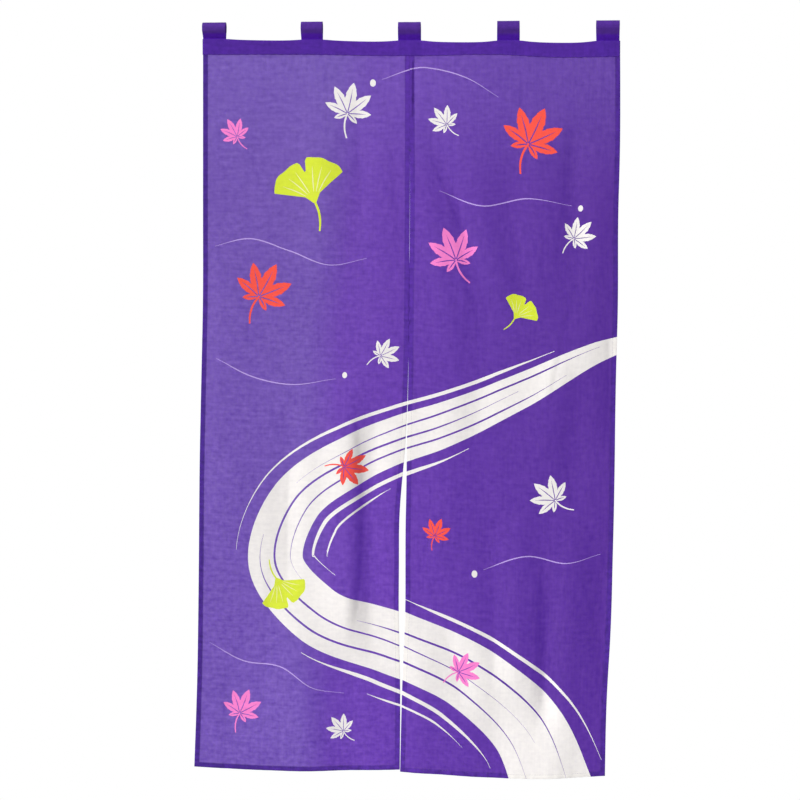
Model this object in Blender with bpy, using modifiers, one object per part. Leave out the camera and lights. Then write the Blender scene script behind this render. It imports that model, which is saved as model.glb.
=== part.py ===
"""Noren curtain: two hemmed cloth panels under one header band, with five cloth loops for a rod.

Metres, +Z up, and the curtain's face looks along -Y. The origin is on the axis of the rod that the
loops are made for, at the middle of the curtain's width.
"""

import math
from collections import namedtuple

import bmesh
import bpy
import numpy as np

# Driving sizes of the cloth
SHEET = 0.0010  # thickness of one layer of cloth
GAP = 0.0003  # clearance between pieces that touch
HEM_WIDTH = 0.010
HEM_THICKNESS = 0.0018  # the turned edge is two layers, pressed
WIDTH = 0.850

# Header band: a strip folded over the top edges of both panels
HEADER_END = 0.0008  # how far it stands past the panels at each end
HEADER_STEP = 0.022  # between the columns of its mesh
SAG_POWER = 3  # how squarely its top edge sags between two loops
FOLD_ARC_STEPS = 4  # of the half turn over the panels' top edges
CHANNEL = SHEET + 2 * GAP  # the space between its two layers
FOLD_RADIUS = (CHANNEL + SHEET) / 2  # of the middle of the cloth, over the top edge
HEADER_BACK = CHANNEL / 2 + SHEET

# Loops: each is one strip, folded over the rod, its two ends sewn down behind the header
ROD_SPACE_RADIUS = 0.0110
LOOP_RADIUS = ROD_SPACE_RADIUS + SHEET / 2
LOOP_TAIL = 0.0250  # how far its ends reach down behind the header
LOOP_PINCH = 0.0020  # its two legs meet this far over the header
LOOP_BEND = 0.0040  # radius of the bend where they meet
LEG_GAP = 0.0002  # between the two ends of one strip
LOOP_ARC_STEPS = 14
BEND_STEPS = 3

# Panels
PANEL_TOP_DROP = 0.0022  # the panels' top edges lie this far under the top of the header
PANEL_COLUMNS = 24
PANEL_ROWS = 33
PANEL_TOP = -0.025  # mean height of the panels' top edges, from which their rows are counted
UNDER_HEADER = 0.040  # the hems have their full thickness from this far down a panel
HEM_STEP = 0.0008  # the hem's thickness falls to the panel's over this width

# Loops from left to right: each one's middle, its width, how far its curl stands over
# the rod's axis, and the height of the header's top edge under it
Loop = namedtuple("Loop", "x width lift header_top")
LOOPS = (
    Loop(-0.4009, 0.0478, 0.0006, -0.0212),
    Loop(-0.2009, 0.0442, 0.0010, -0.0234),
    Loop(-0.0018, 0.0464, -0.0010, -0.0262),
    Loop(0.1992, 0.0458, 0.0000, -0.0275),
    Loop(0.4007, 0.0472, -0.0002, -0.0293),
)

# Spans of the header between two loops: how far each swells to the front, and how far it sags
Span = namedtuple("Span", "swell sag")
SPANS = (Span(0.0014, 0.0023), Span(-0.0012, 0.0028), Span(0.0018, 0.0039), Span(-0.0014, 0.0042))

# The four upright edges, at heights z. The inner two are sewn together down to z = -0.243
Edges = namedtuple("Edges", "z left_outer left_inner right_inner right_outer")
EDGES = (
    Edges(0.000, -0.4246, -0.0016, -0.0012, 0.4250),
    Edges(-0.120, -0.4250, -0.0014, -0.0010, 0.4262),
    Edges(-0.243, -0.4256, -0.0012, -0.0008, 0.4263),
    Edges(-0.370, -0.4262, -0.0015, -0.0008, 0.4234),
    Edges(-0.554, -0.4271, -0.0031, -0.0023, 0.4237),
    Edges(-0.730, -0.4312, -0.0052, -0.0043, 0.4206),
    Edges(-0.810, -0.4334, -0.0080, -0.0062, 0.4197),
    Edges(-0.865, -0.4348, -0.0113, -0.0071, 0.4191),
    Edges(-0.945, -0.4361, -0.0191, -0.0078, 0.4182),
    Edges(-1.010, -0.4371, -0.0232, -0.0094, 0.4172),
    Edges(-1.090, -0.4382, -0.0234, -0.0098, 0.4155),
    Edges(-1.195, -0.4400, -0.0242, -0.0100, 0.4135),
    Edges(-1.275, -0.4414, -0.0226, -0.0128, 0.4102),
    Edges(-1.335, -0.4427, -0.0212, -0.0156, 0.4065),
    Edges(-1.410, -0.4452, -0.0209, -0.0178, 0.4038),
    Edges(-1.530, -0.4499, -0.0220, -0.0205, 0.4021),
)

# Lower edges, from side to side: of the header, of the left panel and of the right one
Foot = namedtuple("Foot", "x z")
HEADER_FOOT = (
    Foot(-0.425, -0.0532),
    Foot(-0.199, -0.0544),
    Foot(0.000, -0.0579),
    Foot(0.192, -0.0567),
    Foot(0.284, -0.0620),
    Foot(0.426, -0.0614),
)
LEFT_FOOT = (
    Foot(-0.450, -1.5239),
    Foot(-0.396, -1.5270),
    Foot(-0.300, -1.5304),
    Foot(-0.130, -1.5296),
    Foot(-0.022, -1.5263),
)
RIGHT_FOOT = (
    Foot(-0.020, -1.5298),
    Foot(0.053, -1.5342),
    Foot(0.202, -1.5422),
    Foot(0.279, -1.5409),
    Foot(0.402, -1.5343),
)

# Folds of the hanging cloth: a soft ridge (rise over 0, to the front) or trough (under 0)
# that runs from (x_top, z_top) to (x_foot, z_foot) and fades at both ends
Fold = namedtuple("Fold", "x_top z_top x_foot z_foot half_width rise")
LEFT_FOLDS = (
    Fold(-0.176, -0.10, -0.186, -0.56, 0.036, 0.0045),
    Fold(-0.120, -0.10, -0.118, -0.46, 0.024, -0.0055),
    Fold(-0.066, -0.15, -0.060, -0.80, 0.034, 0.0035),
    Fold(-0.376, -0.30, -0.380, -1.20, 0.050, 0.0060),
    Fold(-0.258, -0.74, -0.262, -1.24, 0.026, -0.0045),
    Fold(-0.206, -0.62, -0.212, -1.10, 0.030, 0.0030),
    Fold(-0.146, -0.66, -0.140, -1.34, 0.034, 0.0085),
    Fold(-0.086, -0.70, -0.082, -1.36, 0.030, -0.0105),
    Fold(-0.040, -0.78, -0.044, -1.28, 0.022, 0.0030),
    Fold(-0.330, -1.10, -0.336, -1.50, 0.056, -0.0050),
    Fold(-0.232, -1.16, -0.220, -1.62, 0.044, 0.0070),
    Fold(-0.130, -1.20, -0.124, -1.64, 0.036, -0.0055),
)
RIGHT_FOLDS = (
    Fold(0.030, -0.16, 0.160, -0.62, 0.022, -0.0075),
    Fold(0.024, -0.28, 0.096, -0.72, 0.026, 0.0050),
    Fold(0.112, -0.20, 0.186, -0.60, 0.028, 0.0065),
    Fold(0.176, -0.28, 0.240, -0.62, 0.022, -0.0060),
    Fold(0.262, -0.14, 0.274, -0.56, 0.032, 0.0060),
    Fold(0.337, -0.16, 0.316, -0.52, 0.024, -0.0070),
    Fold(0.386, -0.24, 0.366, -0.66, 0.026, 0.0050),
    Fold(0.415, -0.58, 0.410, -0.90, 0.030, -0.0100),
    Fold(0.318, -0.60, 0.268, -0.94, 0.030, 0.0070),
    Fold(0.352, -0.68, 0.330, -1.02, 0.024, -0.0050),
    Fold(0.150, -0.52, 0.136, -0.90, 0.026, -0.0045),
    Fold(0.078, -0.70, 0.070, -1.20, 0.036, 0.0045),
    Fold(0.164, -0.98, 0.166, -1.36, 0.022, -0.0065),
    Fold(0.228, -0.92, 0.222, -1.42, 0.028, 0.0070),
    Fold(0.280, -1.06, 0.270, -1.46, 0.022, -0.0090),
    Fold(0.334, -0.96, 0.322, -1.52, 0.030, 0.0080),
    Fold(0.394, -1.02, 0.382, -1.34, 0.024, -0.0060),
    Fold(0.052, -1.18, 0.118, -1.42, 0.024, -0.0040),
    Fold(0.020, -1.22, 0.016, -1.62, 0.030, 0.0055),
    Fold(0.184, -1.34, 0.172, -1.66, 0.036, -0.0055),
    Fold(0.300, -1.40, 0.290, -1.66, 0.040, 0.0050),
)
FOLD_FADE = 0.30  # the share of a fold's length over which it fades at each end
DRAPE_TOP = -0.075  # above this the header holds the cloth flat
DRAPE_FREE = -0.200  # from here down the folds have their full depth
SWELL_LOST = 0.6  # the share of the header's swell that the free cloth loses

PURPLE = (0.115, 0.035, 0.330, 1.0)
DEEP_PURPLE = (0.075, 0.020, 0.245, 1.0)
CLOTH_ROUGHNESS = 0.85


def smooth(t):
    """0 below 0, 1 above 1, and a soft step between."""
    t = min(max(t, 0.0), 1.0)
    return t * t * (3.0 - 2.0 * t)


def through(stations, values, at):
    """The value at a place on the smooth curve through the values at rising stations."""
    slopes = np.gradient(values, stations)
    i = min(max(int(np.searchsorted(stations, at)) - 1, 0), len(stations) - 2)
    span = stations[i + 1] - stations[i]
    t = min(max((at - stations[i]) / span, 0.0), 1.0)
    return float(
        (1 + 2 * t) * (1 - t) ** 2 * values[i]
        + t * (1 - t) ** 2 * span * slopes[i]
        + t * t * (3 - 2 * t) * values[i + 1]
        + t * t * (t - 1) * span * slopes[i + 1]
    )


def edge_x(name, z):
    """Where the named upright edge is at height z."""
    rising = EDGES[::-1]
    return through([row.z for row in rising], [getattr(row, name) for row in rising], z)


def foot_z(foot, x):
    """Height of a lower edge."""
    return through([row.x for row in foot], [row.z for row in foot], x)


def share_of_span(before, after, x):
    """Place between two loops: 0 at the first one's side, 1 at the next one's side."""
    start, end = before.x + before.width / 2, after.x - after.width / 2
    return min(max((x - start) / (end - start), 0.0), 1.0)


def header_top(x):
    """Height of the header's top edge, level under each loop and sagging between them."""
    height = LOOPS[0].header_top
    for before, after, span in zip(LOOPS, LOOPS[1:], SPANS):
        share = share_of_span(before, after, x)
        height += (after.header_top - before.header_top) * smooth(share)
        height -= span.sag * (1 - abs(2 * share - 1) ** SAG_POWER)
    return height


def header_depth(x):
    """How far the middle of the header lies behind the rod's axis. It is in line under each loop."""
    shares = [share_of_span(before, after, x) for before, after in zip(LOOPS, LOOPS[1:])]
    return -sum(span.swell * (1 - (2 * share - 1) ** 2) ** 2 for span, share in zip(SPANS, shares))


def fold_rise(fold, x, z):
    """How far one fold brings the cloth to the front at a place."""
    along = (fold.z_top - z) / (fold.z_top - fold.z_foot)
    centre = fold.x_top + along * (fold.x_foot - fold.x_top)
    ends = smooth(along / FOLD_FADE) * smooth((1 - along) / FOLD_FADE)
    return fold.rise * ends * math.exp(-(((x - centre) / fold.half_width) ** 2))


def drape_depth(folds, x, z):
    """Depth of a panel's middle: the header's own line at the top, and the folds below it."""
    freedom = smooth((DRAPE_TOP - z) / (DRAPE_TOP - DRAPE_FREE))
    held = header_depth(x) * (1 - SWELL_LOST * freedom)
    return held - freedom * sum(fold_rise(fold, x, z) for fold in folds)


def new_object(name, mesh, colour):
    """A named object in the curtain's collection, with a cloth material of its own."""
    material = bpy.data.materials.new(name + "_cloth")
    material.use_nodes = True
    shader = material.node_tree.nodes["Principled BSDF"]
    shader.inputs["Base Color"].default_value = colour
    shader.inputs["Roughness"].default_value = CLOTH_ROUGHNESS
    shader.inputs["Metallic"].default_value = 0.0
    mesh.materials.append(material)
    obj = bpy.data.objects.new(name, mesh)
    bpy.data.collections["noren_curtain"].objects.link(obj)
    return obj


def bent_grid(name, columns, rows, place):
    """A mesh of a plane grid whose corner (i, j) is moved to place(i, j)."""
    bm = bmesh.new()
    bmesh.ops.create_grid(bm, x_segments=columns, y_segments=rows, size=0.5)
    for vert in bm.verts:
        i = round((vert.co.x + 0.5) * columns)
        j = round((vert.co.y + 0.5) * rows)
        vert.co = place(i, j)
    mesh = bpy.data.meshes.new(name)
    bm.to_mesh(mesh)
    bm.free()
    mesh.shade_smooth()
    return mesh


def thicken(obj, thickness, group="", factor=0.0):
    """Gives an open sheet its thickness. A vertex group may hold where it is thickest."""
    solidify = obj.modifiers.new("thickness", "SOLIDIFY")
    solidify.thickness = thickness
    solidify.offset = 0.0
    solidify.use_even_offset = True
    solidify.use_rim = True
    if group:
        solidify.vertex_group = group
        solidify.thickness_vertex_group = factor


def stations(length, step_at_start, steps):
    """Distances along one side of a panel, in close pairs where its thickness changes."""
    first, last = step_at_start + HEM_STEP, length - HEM_WIDTH - HEM_STEP
    return [0.0, step_at_start, *np.linspace(first, last, steps + 1), length - HEM_WIDTH, length]


def make_panel(name, left, right, foot, folds):
    """One hemmed panel between its two named edges, from under the header down to its foot."""
    width = edge_x(right, PANEL_TOP) - edge_x(left, PANEL_TOP)
    drop = PANEL_TOP - foot_z(foot, foot[1].x)
    across, down = stations(width, HEM_WIDTH, PANEL_COLUMNS), stations(drop, UNDER_HEADER, PANEL_ROWS)
    columns, rows = len(across) - 1, len(down) - 1

    def place(i, j):
        share, fall = across[i] / width, down[j] / drop
        level = PANEL_TOP - down[j]
        x = (1 - share) * edge_x(left, level) + share * edge_x(right, level)
        z = (1 - fall) * (header_top(x) - PANEL_TOP_DROP) + fall * foot_z(foot, x)
        return x, drape_depth(folds, x, z), z

    obj = new_object(name, bent_grid(name, columns, rows, place), PURPLE)
    hem = obj.vertex_groups.new(name="hem")
    for vert in obj.data.vertices:
        i, j = vert.index % (columns + 1), vert.index // (columns + 1)
        at_side = across[i] <= HEM_WIDTH or across[i] >= width - HEM_WIDTH
        at_foot = down[j] >= drop - HEM_WIDTH
        if down[j] > UNDER_HEADER and (at_side or at_foot):
            hem.add([vert.index], 1.0, "REPLACE")
    thicken(obj, HEM_THICKNESS, "hem", SHEET / HEM_THICKNESS)


def header_profile():
    """Along the folded strip, front to back: depth, rise over the fold's centre, whether at the foot."""
    arc = [math.pi * k / FOLD_ARC_STEPS for k in range(FOLD_ARC_STEPS + 1)]
    folded = [(-FOLD_RADIUS * math.cos(a), FOLD_RADIUS * math.sin(a), False) for a in arc]
    return [(-FOLD_RADIUS, 0.0, True), *folded, (FOLD_RADIUS, 0.0, True)]


def header_stations():
    """Places along the header: both sides and the middle of each loop, and even steps between."""
    reach = WIDTH / 2 + HEADER_END
    stops = [-reach]
    for loop in LOOPS:
        stops += [loop.x - loop.width / 2, loop.x, loop.x + loop.width / 2]
    stops = [x for x in stops if -reach <= x < reach] + [reach]
    places = []
    for start, end in zip(stops, stops[1:]):
        steps = max(1, round((end - start) / HEADER_STEP))
        places += [start + (end - start) * k / steps for k in range(steps)]
    return [*places, reach]


def make_header():
    """The strip that holds the loops, folded over the top edges of both panels."""
    profile, places = header_profile(), header_stations()

    def place(i, j):
        x = places[i]
        depth, rise, at_foot = profile[j]
        centre = header_top(x) - FOLD_RADIUS - SHEET / 2
        z = foot_z(HEADER_FOOT, x) if at_foot else centre + rise
        return x, header_depth(x) + depth, z

    mesh = bent_grid("header_band", len(places) - 1, len(profile) - 1, place)
    obj = new_object("header_band", mesh, DEEP_PURPLE)
    thicken(obj, SHEET)
    return obj


def loop_leg(depth, pinch_z, side):
    """Points (y, z) of one leg, from the curl's centre, and the angle at which it meets the curl."""
    pinch = np.array([depth, pinch_z])
    towards = math.atan2(pinch_z, depth)
    touch = towards + side * math.acos(LOOP_RADIUS / np.linalg.norm(pinch))
    rod_point = np.array([math.cos(touch), math.sin(touch)]) * LOOP_RADIUS
    up = (rod_point - pinch) / np.linalg.norm(rod_point - pinch)
    run = LOOP_BEND * math.tan(math.acos(up[1]) / 2)
    start, end = pinch - (0.0, run), pinch + up * run
    bend = [
        (1 - t) ** 2 * start + 2 * t * (1 - t) * pinch + t * t * end
        for t in np.linspace(0, 1, BEND_STEPS + 1)
    ]
    sewn_end = pinch - (0.0, LOOP_PINCH + LOOP_TAIL)
    return [sewn_end, *bend], touch


def loop_path(loop):
    """Points (y, z) along the middle of one strip, from one sewn end over the rod to the other."""
    front_depth = HEADER_BACK + GAP + SHEET / 2
    back_depth = front_depth + SHEET + LEG_GAP
    pinch_z = loop.header_top + LOOP_PINCH - loop.lift
    front, front_touch = loop_leg(front_depth, pinch_z, -1)
    back, back_touch = loop_leg(back_depth, pinch_z, 1)
    angles = np.linspace(front_touch, back_touch - 2 * math.pi, LOOP_ARC_STEPS + 1)
    over = [np.array([math.cos(a), math.sin(a)]) * LOOP_RADIUS for a in angles]
    return [*front, *over, *back[::-1]]


def make_loop(number, loop):
    """One cloth loop, a strip as wide as its table row says."""
    path = loop_path(loop)

    def place(i, j):
        return (i - 0.5) * loop.width, path[j][0], path[j][1]

    name = f"loop_{number}"
    obj = new_object(name, bent_grid(name, 1, len(path) - 1, place), DEEP_PURPLE)
    obj.location = (loop.x, 0.0, loop.lift)
    thicken(obj, SHEET)
    return obj


def main():
    for obj in list(bpy.data.objects):
        bpy.data.objects.remove(obj)
    bpy.context.scene.collection.children.link(bpy.data.collections.new("noren_curtain"))
    make_panel("panel_left", "left_outer", "left_inner", LEFT_FOOT, LEFT_FOLDS)
    make_panel("panel_right", "right_inner", "right_outer", RIGHT_FOOT, RIGHT_FOLDS)
    make_header()
    for number, loop in enumerate(LOOPS, 1):
        make_loop(number, loop)


main()
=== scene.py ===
"""Dress a noren curtain: printed cloth, turned hems, header band, rod loops and sewing.

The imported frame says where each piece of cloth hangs. Here each piece is cut as a flat
pattern in metres, its hems are folded, and it is laid on the frame's folds together with
the finer creases of thin cloth. A place on the cloth is (across, down): metres to the
right of the curtain's middle, and metres below the top edge of the panels.
"""

import logging
import math
from dataclasses import dataclass, field
from enum import Enum
from typing import Any, Dict, List, NamedTuple, Optional, Sequence, Tuple, Union

import bpy
import numpy as np
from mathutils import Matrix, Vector
from mathutils.bvhtree import BVHTree
from mathutils.geometry import delaunay_2d_cdt

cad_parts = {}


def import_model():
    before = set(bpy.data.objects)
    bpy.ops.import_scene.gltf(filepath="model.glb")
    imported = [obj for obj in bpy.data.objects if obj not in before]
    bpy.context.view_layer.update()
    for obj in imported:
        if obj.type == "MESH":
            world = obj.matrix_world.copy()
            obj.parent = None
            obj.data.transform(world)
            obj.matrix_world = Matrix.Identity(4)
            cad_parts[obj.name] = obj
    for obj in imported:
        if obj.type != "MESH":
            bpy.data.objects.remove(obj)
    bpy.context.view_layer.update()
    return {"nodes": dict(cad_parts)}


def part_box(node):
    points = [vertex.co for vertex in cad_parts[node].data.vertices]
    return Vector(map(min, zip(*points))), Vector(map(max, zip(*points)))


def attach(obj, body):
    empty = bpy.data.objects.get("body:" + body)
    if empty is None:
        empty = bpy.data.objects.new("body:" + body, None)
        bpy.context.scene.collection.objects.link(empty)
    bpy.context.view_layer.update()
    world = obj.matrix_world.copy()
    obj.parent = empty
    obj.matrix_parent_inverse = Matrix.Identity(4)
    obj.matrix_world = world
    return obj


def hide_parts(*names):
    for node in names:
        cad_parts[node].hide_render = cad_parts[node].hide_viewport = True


LOG = logging.getLogger("noren")

Array = np.ndarray
Colour = Tuple[float, float, float]
Outline = Array
Pair = Tuple[float, float]
Object = bpy.types.Object

MM = 0.001
BODY = "root"
BAKE_MAP = "OFBake"
CLOTH_MAP = "cloth"
PRINT_COLOUR = "print_colour"
PRINT_COVER = "print_cover"
LAYERS_AND_SHADE = "layers_and_painted_shade"
CURTAIN_WIDTH = 0.850
LOOP_NUMBERS = range(1, 6)
LOOP_NODES = tuple(f"loop_{number}" for number in LOOP_NUMBERS)
SEWING_STEP = 1.5 * MM
HEM_SHADE_EDGE = 1.2 * MM
SHORTEST = 1e-12
HEM_SEED, HEADER_SEED, LOOP_SEED = 100, 5, 40


class Dye(Enum):
    """Colours of the print, as linear light."""

    GROUND = (0.120, 0.045, 0.360)
    WHITE = (0.920, 0.885, 0.850)
    RED = (1.000, 0.098, 0.060)
    PINK = (1.000, 0.238, 0.640)
    LIME = (0.720, 0.835, 0.038)
    CREAM = (0.840, 0.850, 0.420)
    LAVENDER = (0.500, 0.350, 0.770)


# -------- shader nodes


class Signal:
    """One socket of a material, whose arithmetic adds Math nodes."""

    def __init__(self, bench: "Bench", socket: bpy.types.NodeSocket) -> None:
        """Wrap an output socket; the bench is the material's, which adds the nodes."""
        self.bench = bench
        self.socket = socket

    def __add__(self, other: "Number") -> "Signal":
        """This plus other."""
        return self.bench.maths("ADD", self, other)

    def __radd__(self, other: "Number") -> "Signal":
        """Other plus this."""
        return self.bench.maths("ADD", other, self)

    def __sub__(self, other: "Number") -> "Signal":
        """This less other."""
        return self.bench.maths("SUBTRACT", self, other)

    def __rsub__(self, other: "Number") -> "Signal":
        """Other less this."""
        return self.bench.maths("SUBTRACT", other, self)

    def __mul__(self, other: "Number") -> "Signal":
        """This times other."""
        return self.bench.maths("MULTIPLY", self, other)

    def __rmul__(self, other: "Number") -> "Signal":
        """Other times this."""
        return self.bench.maths("MULTIPLY", other, self)


Number = Union[float, Signal]


class Bench:
    """The node tree of a material or a world, and the one way in which any node is added to it."""

    MIX_FACTOR, MIX_A, MIX_B, MIX_COLOUR = 0, 6, 7, 2
    NOISE_ROUGHNESS = 0.55

    def __init__(self, owner: Union[bpy.types.Material, bpy.types.World]) -> None:
        """Start an empty node tree.

        Args:
            owner: The material or the world whose tree it is.
        """
        self.owner = owner
        owner.use_nodes = True
        self.tree = owner.node_tree
        self.tree.nodes.clear()

    def add(
        self,
        kind: str,
        settings: Optional[Dict[str, Any]] = None,
        sockets: Optional[Dict[Union[str, int], Any]] = None,
        output: Union[str, int] = 0,
    ) -> Signal:
        """Add a node.

        Args:
            kind: The node's type.
            settings: Its settings, which are set first; "stops" holds a ramp's (place, colour) rows.
            sockets: Values or signals for its input sockets.
            output: The output to hand back.

        Returns:
            The chosen output.
        """
        node = self.tree.nodes.new(kind)
        for key, value in (settings or {}).items():
            if key == "stops":
                self._set_stops(node.color_ramp, value)
            else:
                setattr(node, key, value)
        for key, value in (sockets or {}).items():
            if isinstance(value, Signal):
                self.tree.links.new(value.socket, node.inputs[key])
            else:
                node.inputs[key].default_value = value
        return Signal(self, node.outputs[output]) if node.outputs else Signal(self, None)

    @staticmethod
    def _set_stops(ramp: bpy.types.ColorRamp, stops: Sequence[Tuple[float, Colour]]) -> None:
        """Give a colour ramp its stops.

        Args:
            ramp: The ramp.
            stops: Rows of place and colour, by rising place.
        """
        while len(ramp.elements) < len(stops):
            ramp.elements.new(1.0)
        for element, (place, colour) in zip(ramp.elements, stops):
            element.position = place
            element.color = (*colour, 1.0)

    def maths(self, operation: str, first: Number, second: Number = 0.0) -> Signal:
        """One Math node on one or two values."""
        return self.add("ShaderNodeMath", {"operation": operation}, {0: first, 1: second})

    def blend(self, factor: Number, low: Any, high: Any, mode: str = "MIX") -> Signal:
        """A colour between two.

        Args:
            factor: 0 for the first colour, 1 for the second.
            low: The first colour, or a signal.
            high: The second colour, or a signal.
            mode: The way of blending.

        Returns:
            The blended colour.
        """
        settings = {"data_type": "RGBA", "blend_type": mode, "clamp_factor": True}
        sockets = {self.MIX_FACTOR: factor, self.MIX_A: solid(low), self.MIX_B: solid(high)}
        return self.add("ShaderNodeMix", settings, sockets, self.MIX_COLOUR)

    def ramp_up(self, value: Number, start: float, end: float) -> Signal:
        """A soft step from 0 at start to 1 at end."""
        sockets = {"Value": value, "From Min": start, "From Max": end}
        return self.add("ShaderNodeMapRange", {"interpolation_type": "SMOOTHSTEP"}, sockets)

    def cloth_place(self) -> Signal:
        """Metres across and down the cloth, as a vector."""
        return self.add("ShaderNodeUVMap", {"uv_map": CLOTH_MAP})

    def laid(self, name: str, output: str = "Fac") -> Signal:
        """Values or colours that are laid on the mesh."""
        return self.add("ShaderNodeAttribute", {"attribute_name": name}, None, output)

    def parts(self, vector: Signal) -> Tuple[Signal, Signal]:
        """The first two numbers of a vector."""
        across, down = (self.add("ShaderNodeSeparateXYZ", None, {"Vector": vector}, end) for end in "XY")
        return across, down

    def noise(self, place: Signal, per_metre: Pair, detail: float = 1.0) -> Signal:
        """Noise with its own fineness across and down.

        Args:
            place: The place on the cloth.
            per_metre: How many features fit in a metre, across and down.
            detail: How many finer layers it has.

        Returns:
            A value about 0.5.
        """
        factors = {0: place, 1: (*per_metre, 0.0)}
        stretched = self.add("ShaderNodeVectorMath", {"operation": "MULTIPLY"}, factors)
        sockets = {"Vector": stretched, "Scale": 1.0, "Detail": detail, "Roughness": self.NOISE_ROUGHNESS}
        return self.add("ShaderNodeTexNoise", {"noise_dimensions": "2D"}, sockets, 0)

    def finish(self, surface: Signal, output: str = "ShaderNodeOutputMaterial") -> Any:
        """Link the surface to the output and hand the material or the world back."""
        self.add(output, None, {"Surface": surface})
        return self.owner


def solid(colour: Any) -> Any:
    """A colour with its alpha, or a signal as it is."""
    return colour if isinstance(colour, Signal) else (*colour, 1.0)


# -------- finishes


class HemLines(NamedTuple):
    """Where a panel's cloth lies double, in metres on the cloth."""

    left: float
    right: float
    foot: float
    width: float


class Slubs(NamedTuple):
    """Uneven threads: features in a metre across and down, and strength at the curtain's two sides."""

    across: float
    down: float
    left: float
    right: float


@dataclass(frozen=True)
class ClothFinish:
    """Thin slub plain weave: dyed threads of uneven thickness, matt, with light through them.

    Tones, and those of doubled cloth, are (share of the curtain's width, colour) rows, from the left.
    On the panels the tones are painted light: paler on the left, where more light falls and shows
    through the thin cloth, and darker towards the right. The colours of doubled cloth are darker, as
    painted shade for the light that the extra cloth keeps back. Above lean_end each tone lies further
    to the right, by the lean. Gains say how much of the threads' light and dark shows in red, green and
    blue, and thread_fall how much shows at the top and how much more with each metre down. The painted
    backlight pales the cloth from painted_backlight_top to painted_backlight_reach: painted light from
    behind that shows through the sheer cloth near its top.
    """

    name: str
    tones: Tuple[Tuple[float, Colour], ...]
    doubled: Tuple[Tuple[float, Colour], ...]
    painted_backlight: Colour = (0.325, 0.245, 0.490)
    painted_backlight_share: float = 0.30
    painted_backlight_top: float = 0.02
    painted_backlight_reach: float = 0.0
    slubs: Tuple[Slubs, ...] = (
        Slubs(88.0, 115.0, 0.70, 0.66),
        Slubs(20.0, 150.0, 0.56, 0.27),
        Slubs(200.0, 22.0, 0.19, 0.47),
        Slubs(1700.0, 110.0, 0.28, 0.21),
        Slubs(110.0, 1700.0, 0.28, 0.21),
    )
    thread_fall: Pair = (0.80, 0.25)
    unevenness: float = 0.14
    clouds: Pair = (7.0, 5.0)
    cloud_detail: float = 3.0
    lean: float = 0.13
    lean_end: float = 0.60
    gains: Colour = (1.00, 1.00, 0.88)
    on_print: float = 0.15
    roughness: float = 0.82
    rough_swing: float = 0.15
    sheen: float = 0.08
    sheen_spread: float = 0.5
    shine: float = 0.20
    through: float = 0.50
    through_colour: Colour = (0.42, 0.12, 1.00)
    print_stops: float = 0.85
    double_stops: float = 0.40
    weave_height: float = 0.00022
    weave_bump: float = 0.40

    def make(self, hems: Optional[HemLines] = None) -> bpy.types.Material:
        """Build the material.

        Args:
            hems: The panel's hems, or None for a piece whose points say how much cloth lies behind, and so
                where its painted shade goes.

        Returns:
            The material.
        """
        bench = Bench(bpy.data.materials.new(self.name))
        place = bench.cloth_place()
        across, down = bench.parts(place)
        share = (across + CURTAIN_WIDTH / 2) * (1 / CURTAIN_WIDTH)
        top, gain = self.thread_fall
        relief = self._threads(bench, place, share) * (down * gain + top)
        cloud = bench.noise(place, self.clouds, self.cloud_detail)
        cover = bench.laid(PRINT_COVER)
        shading = (relief + (cloud - 0.5) * self.unevenness) * (1.0 - cover * (1.0 - self.on_print))
        # On the panels these tones are painted light: paler on the left, darker to the right, leaning right
        # near the top.
        leaning = share + bench.maths("MINIMUM", down - self.lean_end, 0.0) * self.lean
        ground = bench.add("ShaderNodeValToRGB", {"stops": self.tones}, {"Fac": leaning})
        # Painted backlight: light from behind, painted as a paler colour near the top.
        if self.painted_backlight_reach:
            faded = 1.0 - bench.ramp_up(down, self.painted_backlight_top, self.painted_backlight_reach)
            ground = bench.blend(faded * self.painted_backlight_share, ground, self.painted_backlight)
        # Doubled hems, and cloth with more layers behind it, take darker colours: painted shade, beside the
        # real cut in light coming through.
        if hems:
            double = self._doubled_at(bench, across, down, hems)
        else:
            double = bench.laid(LAYERS_AND_SHADE)
        doubled = bench.add("ShaderNodeValToRGB", {"stops": self.doubled}, {"Fac": share})
        ground = bench.blend(double, ground, doubled)
        colour = bench.blend(cover, ground, bench.laid(PRINT_COLOUR, "Color"))
        gains = {number: shading * share_shown + 1.0 for number, share_shown in enumerate(self.gains)}
        shade = bench.add("ShaderNodeCombineColor", None, gains)
        colour = bench.blend(1.0, colour, shade, "MULTIPLY")
        bump = {"Strength": self.weave_bump, "Distance": self.weave_height, "Height": relief}
        sockets = {
            "Base Color": colour,
            "Roughness": relief * self.rough_swing + self.roughness,
            "Normal": bench.add("ShaderNodeBump", None, bump),
            "Specular IOR Level": self.shine,
            "Sheen Weight": self.sheen,
            "Sheen Roughness": self.sheen_spread,
        }
        front = bench.add("ShaderNodeBsdfPrincipled", None, sockets)
        behind = bench.add("ShaderNodeBsdfTranslucent", None, {"Color": (*self.through_colour, 1.0)})
        passing = (1.0 - cover * self.print_stops) * (1.0 - double * self.double_stops) * self.through
        return bench.finish(bench.add("ShaderNodeMixShader", None, {0: passing, 1: front, 2: behind}))

    def _threads(self, bench: Bench, place: Signal, share: Signal) -> Signal:
        """The threads, thick and thin about 0.

        Args:
            bench: The material's bench.
            place: The place on the cloth.
            share: Share of the curtain's width.

        Returns:
            The sum of all the slubs.
        """
        total: Number = 0.0
        for row in self.slubs:
            strength = share * (row.right - row.left) + row.left
            total = (bench.noise(place, (row.across, row.down)) - 0.5) * strength + total
        return total

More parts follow.
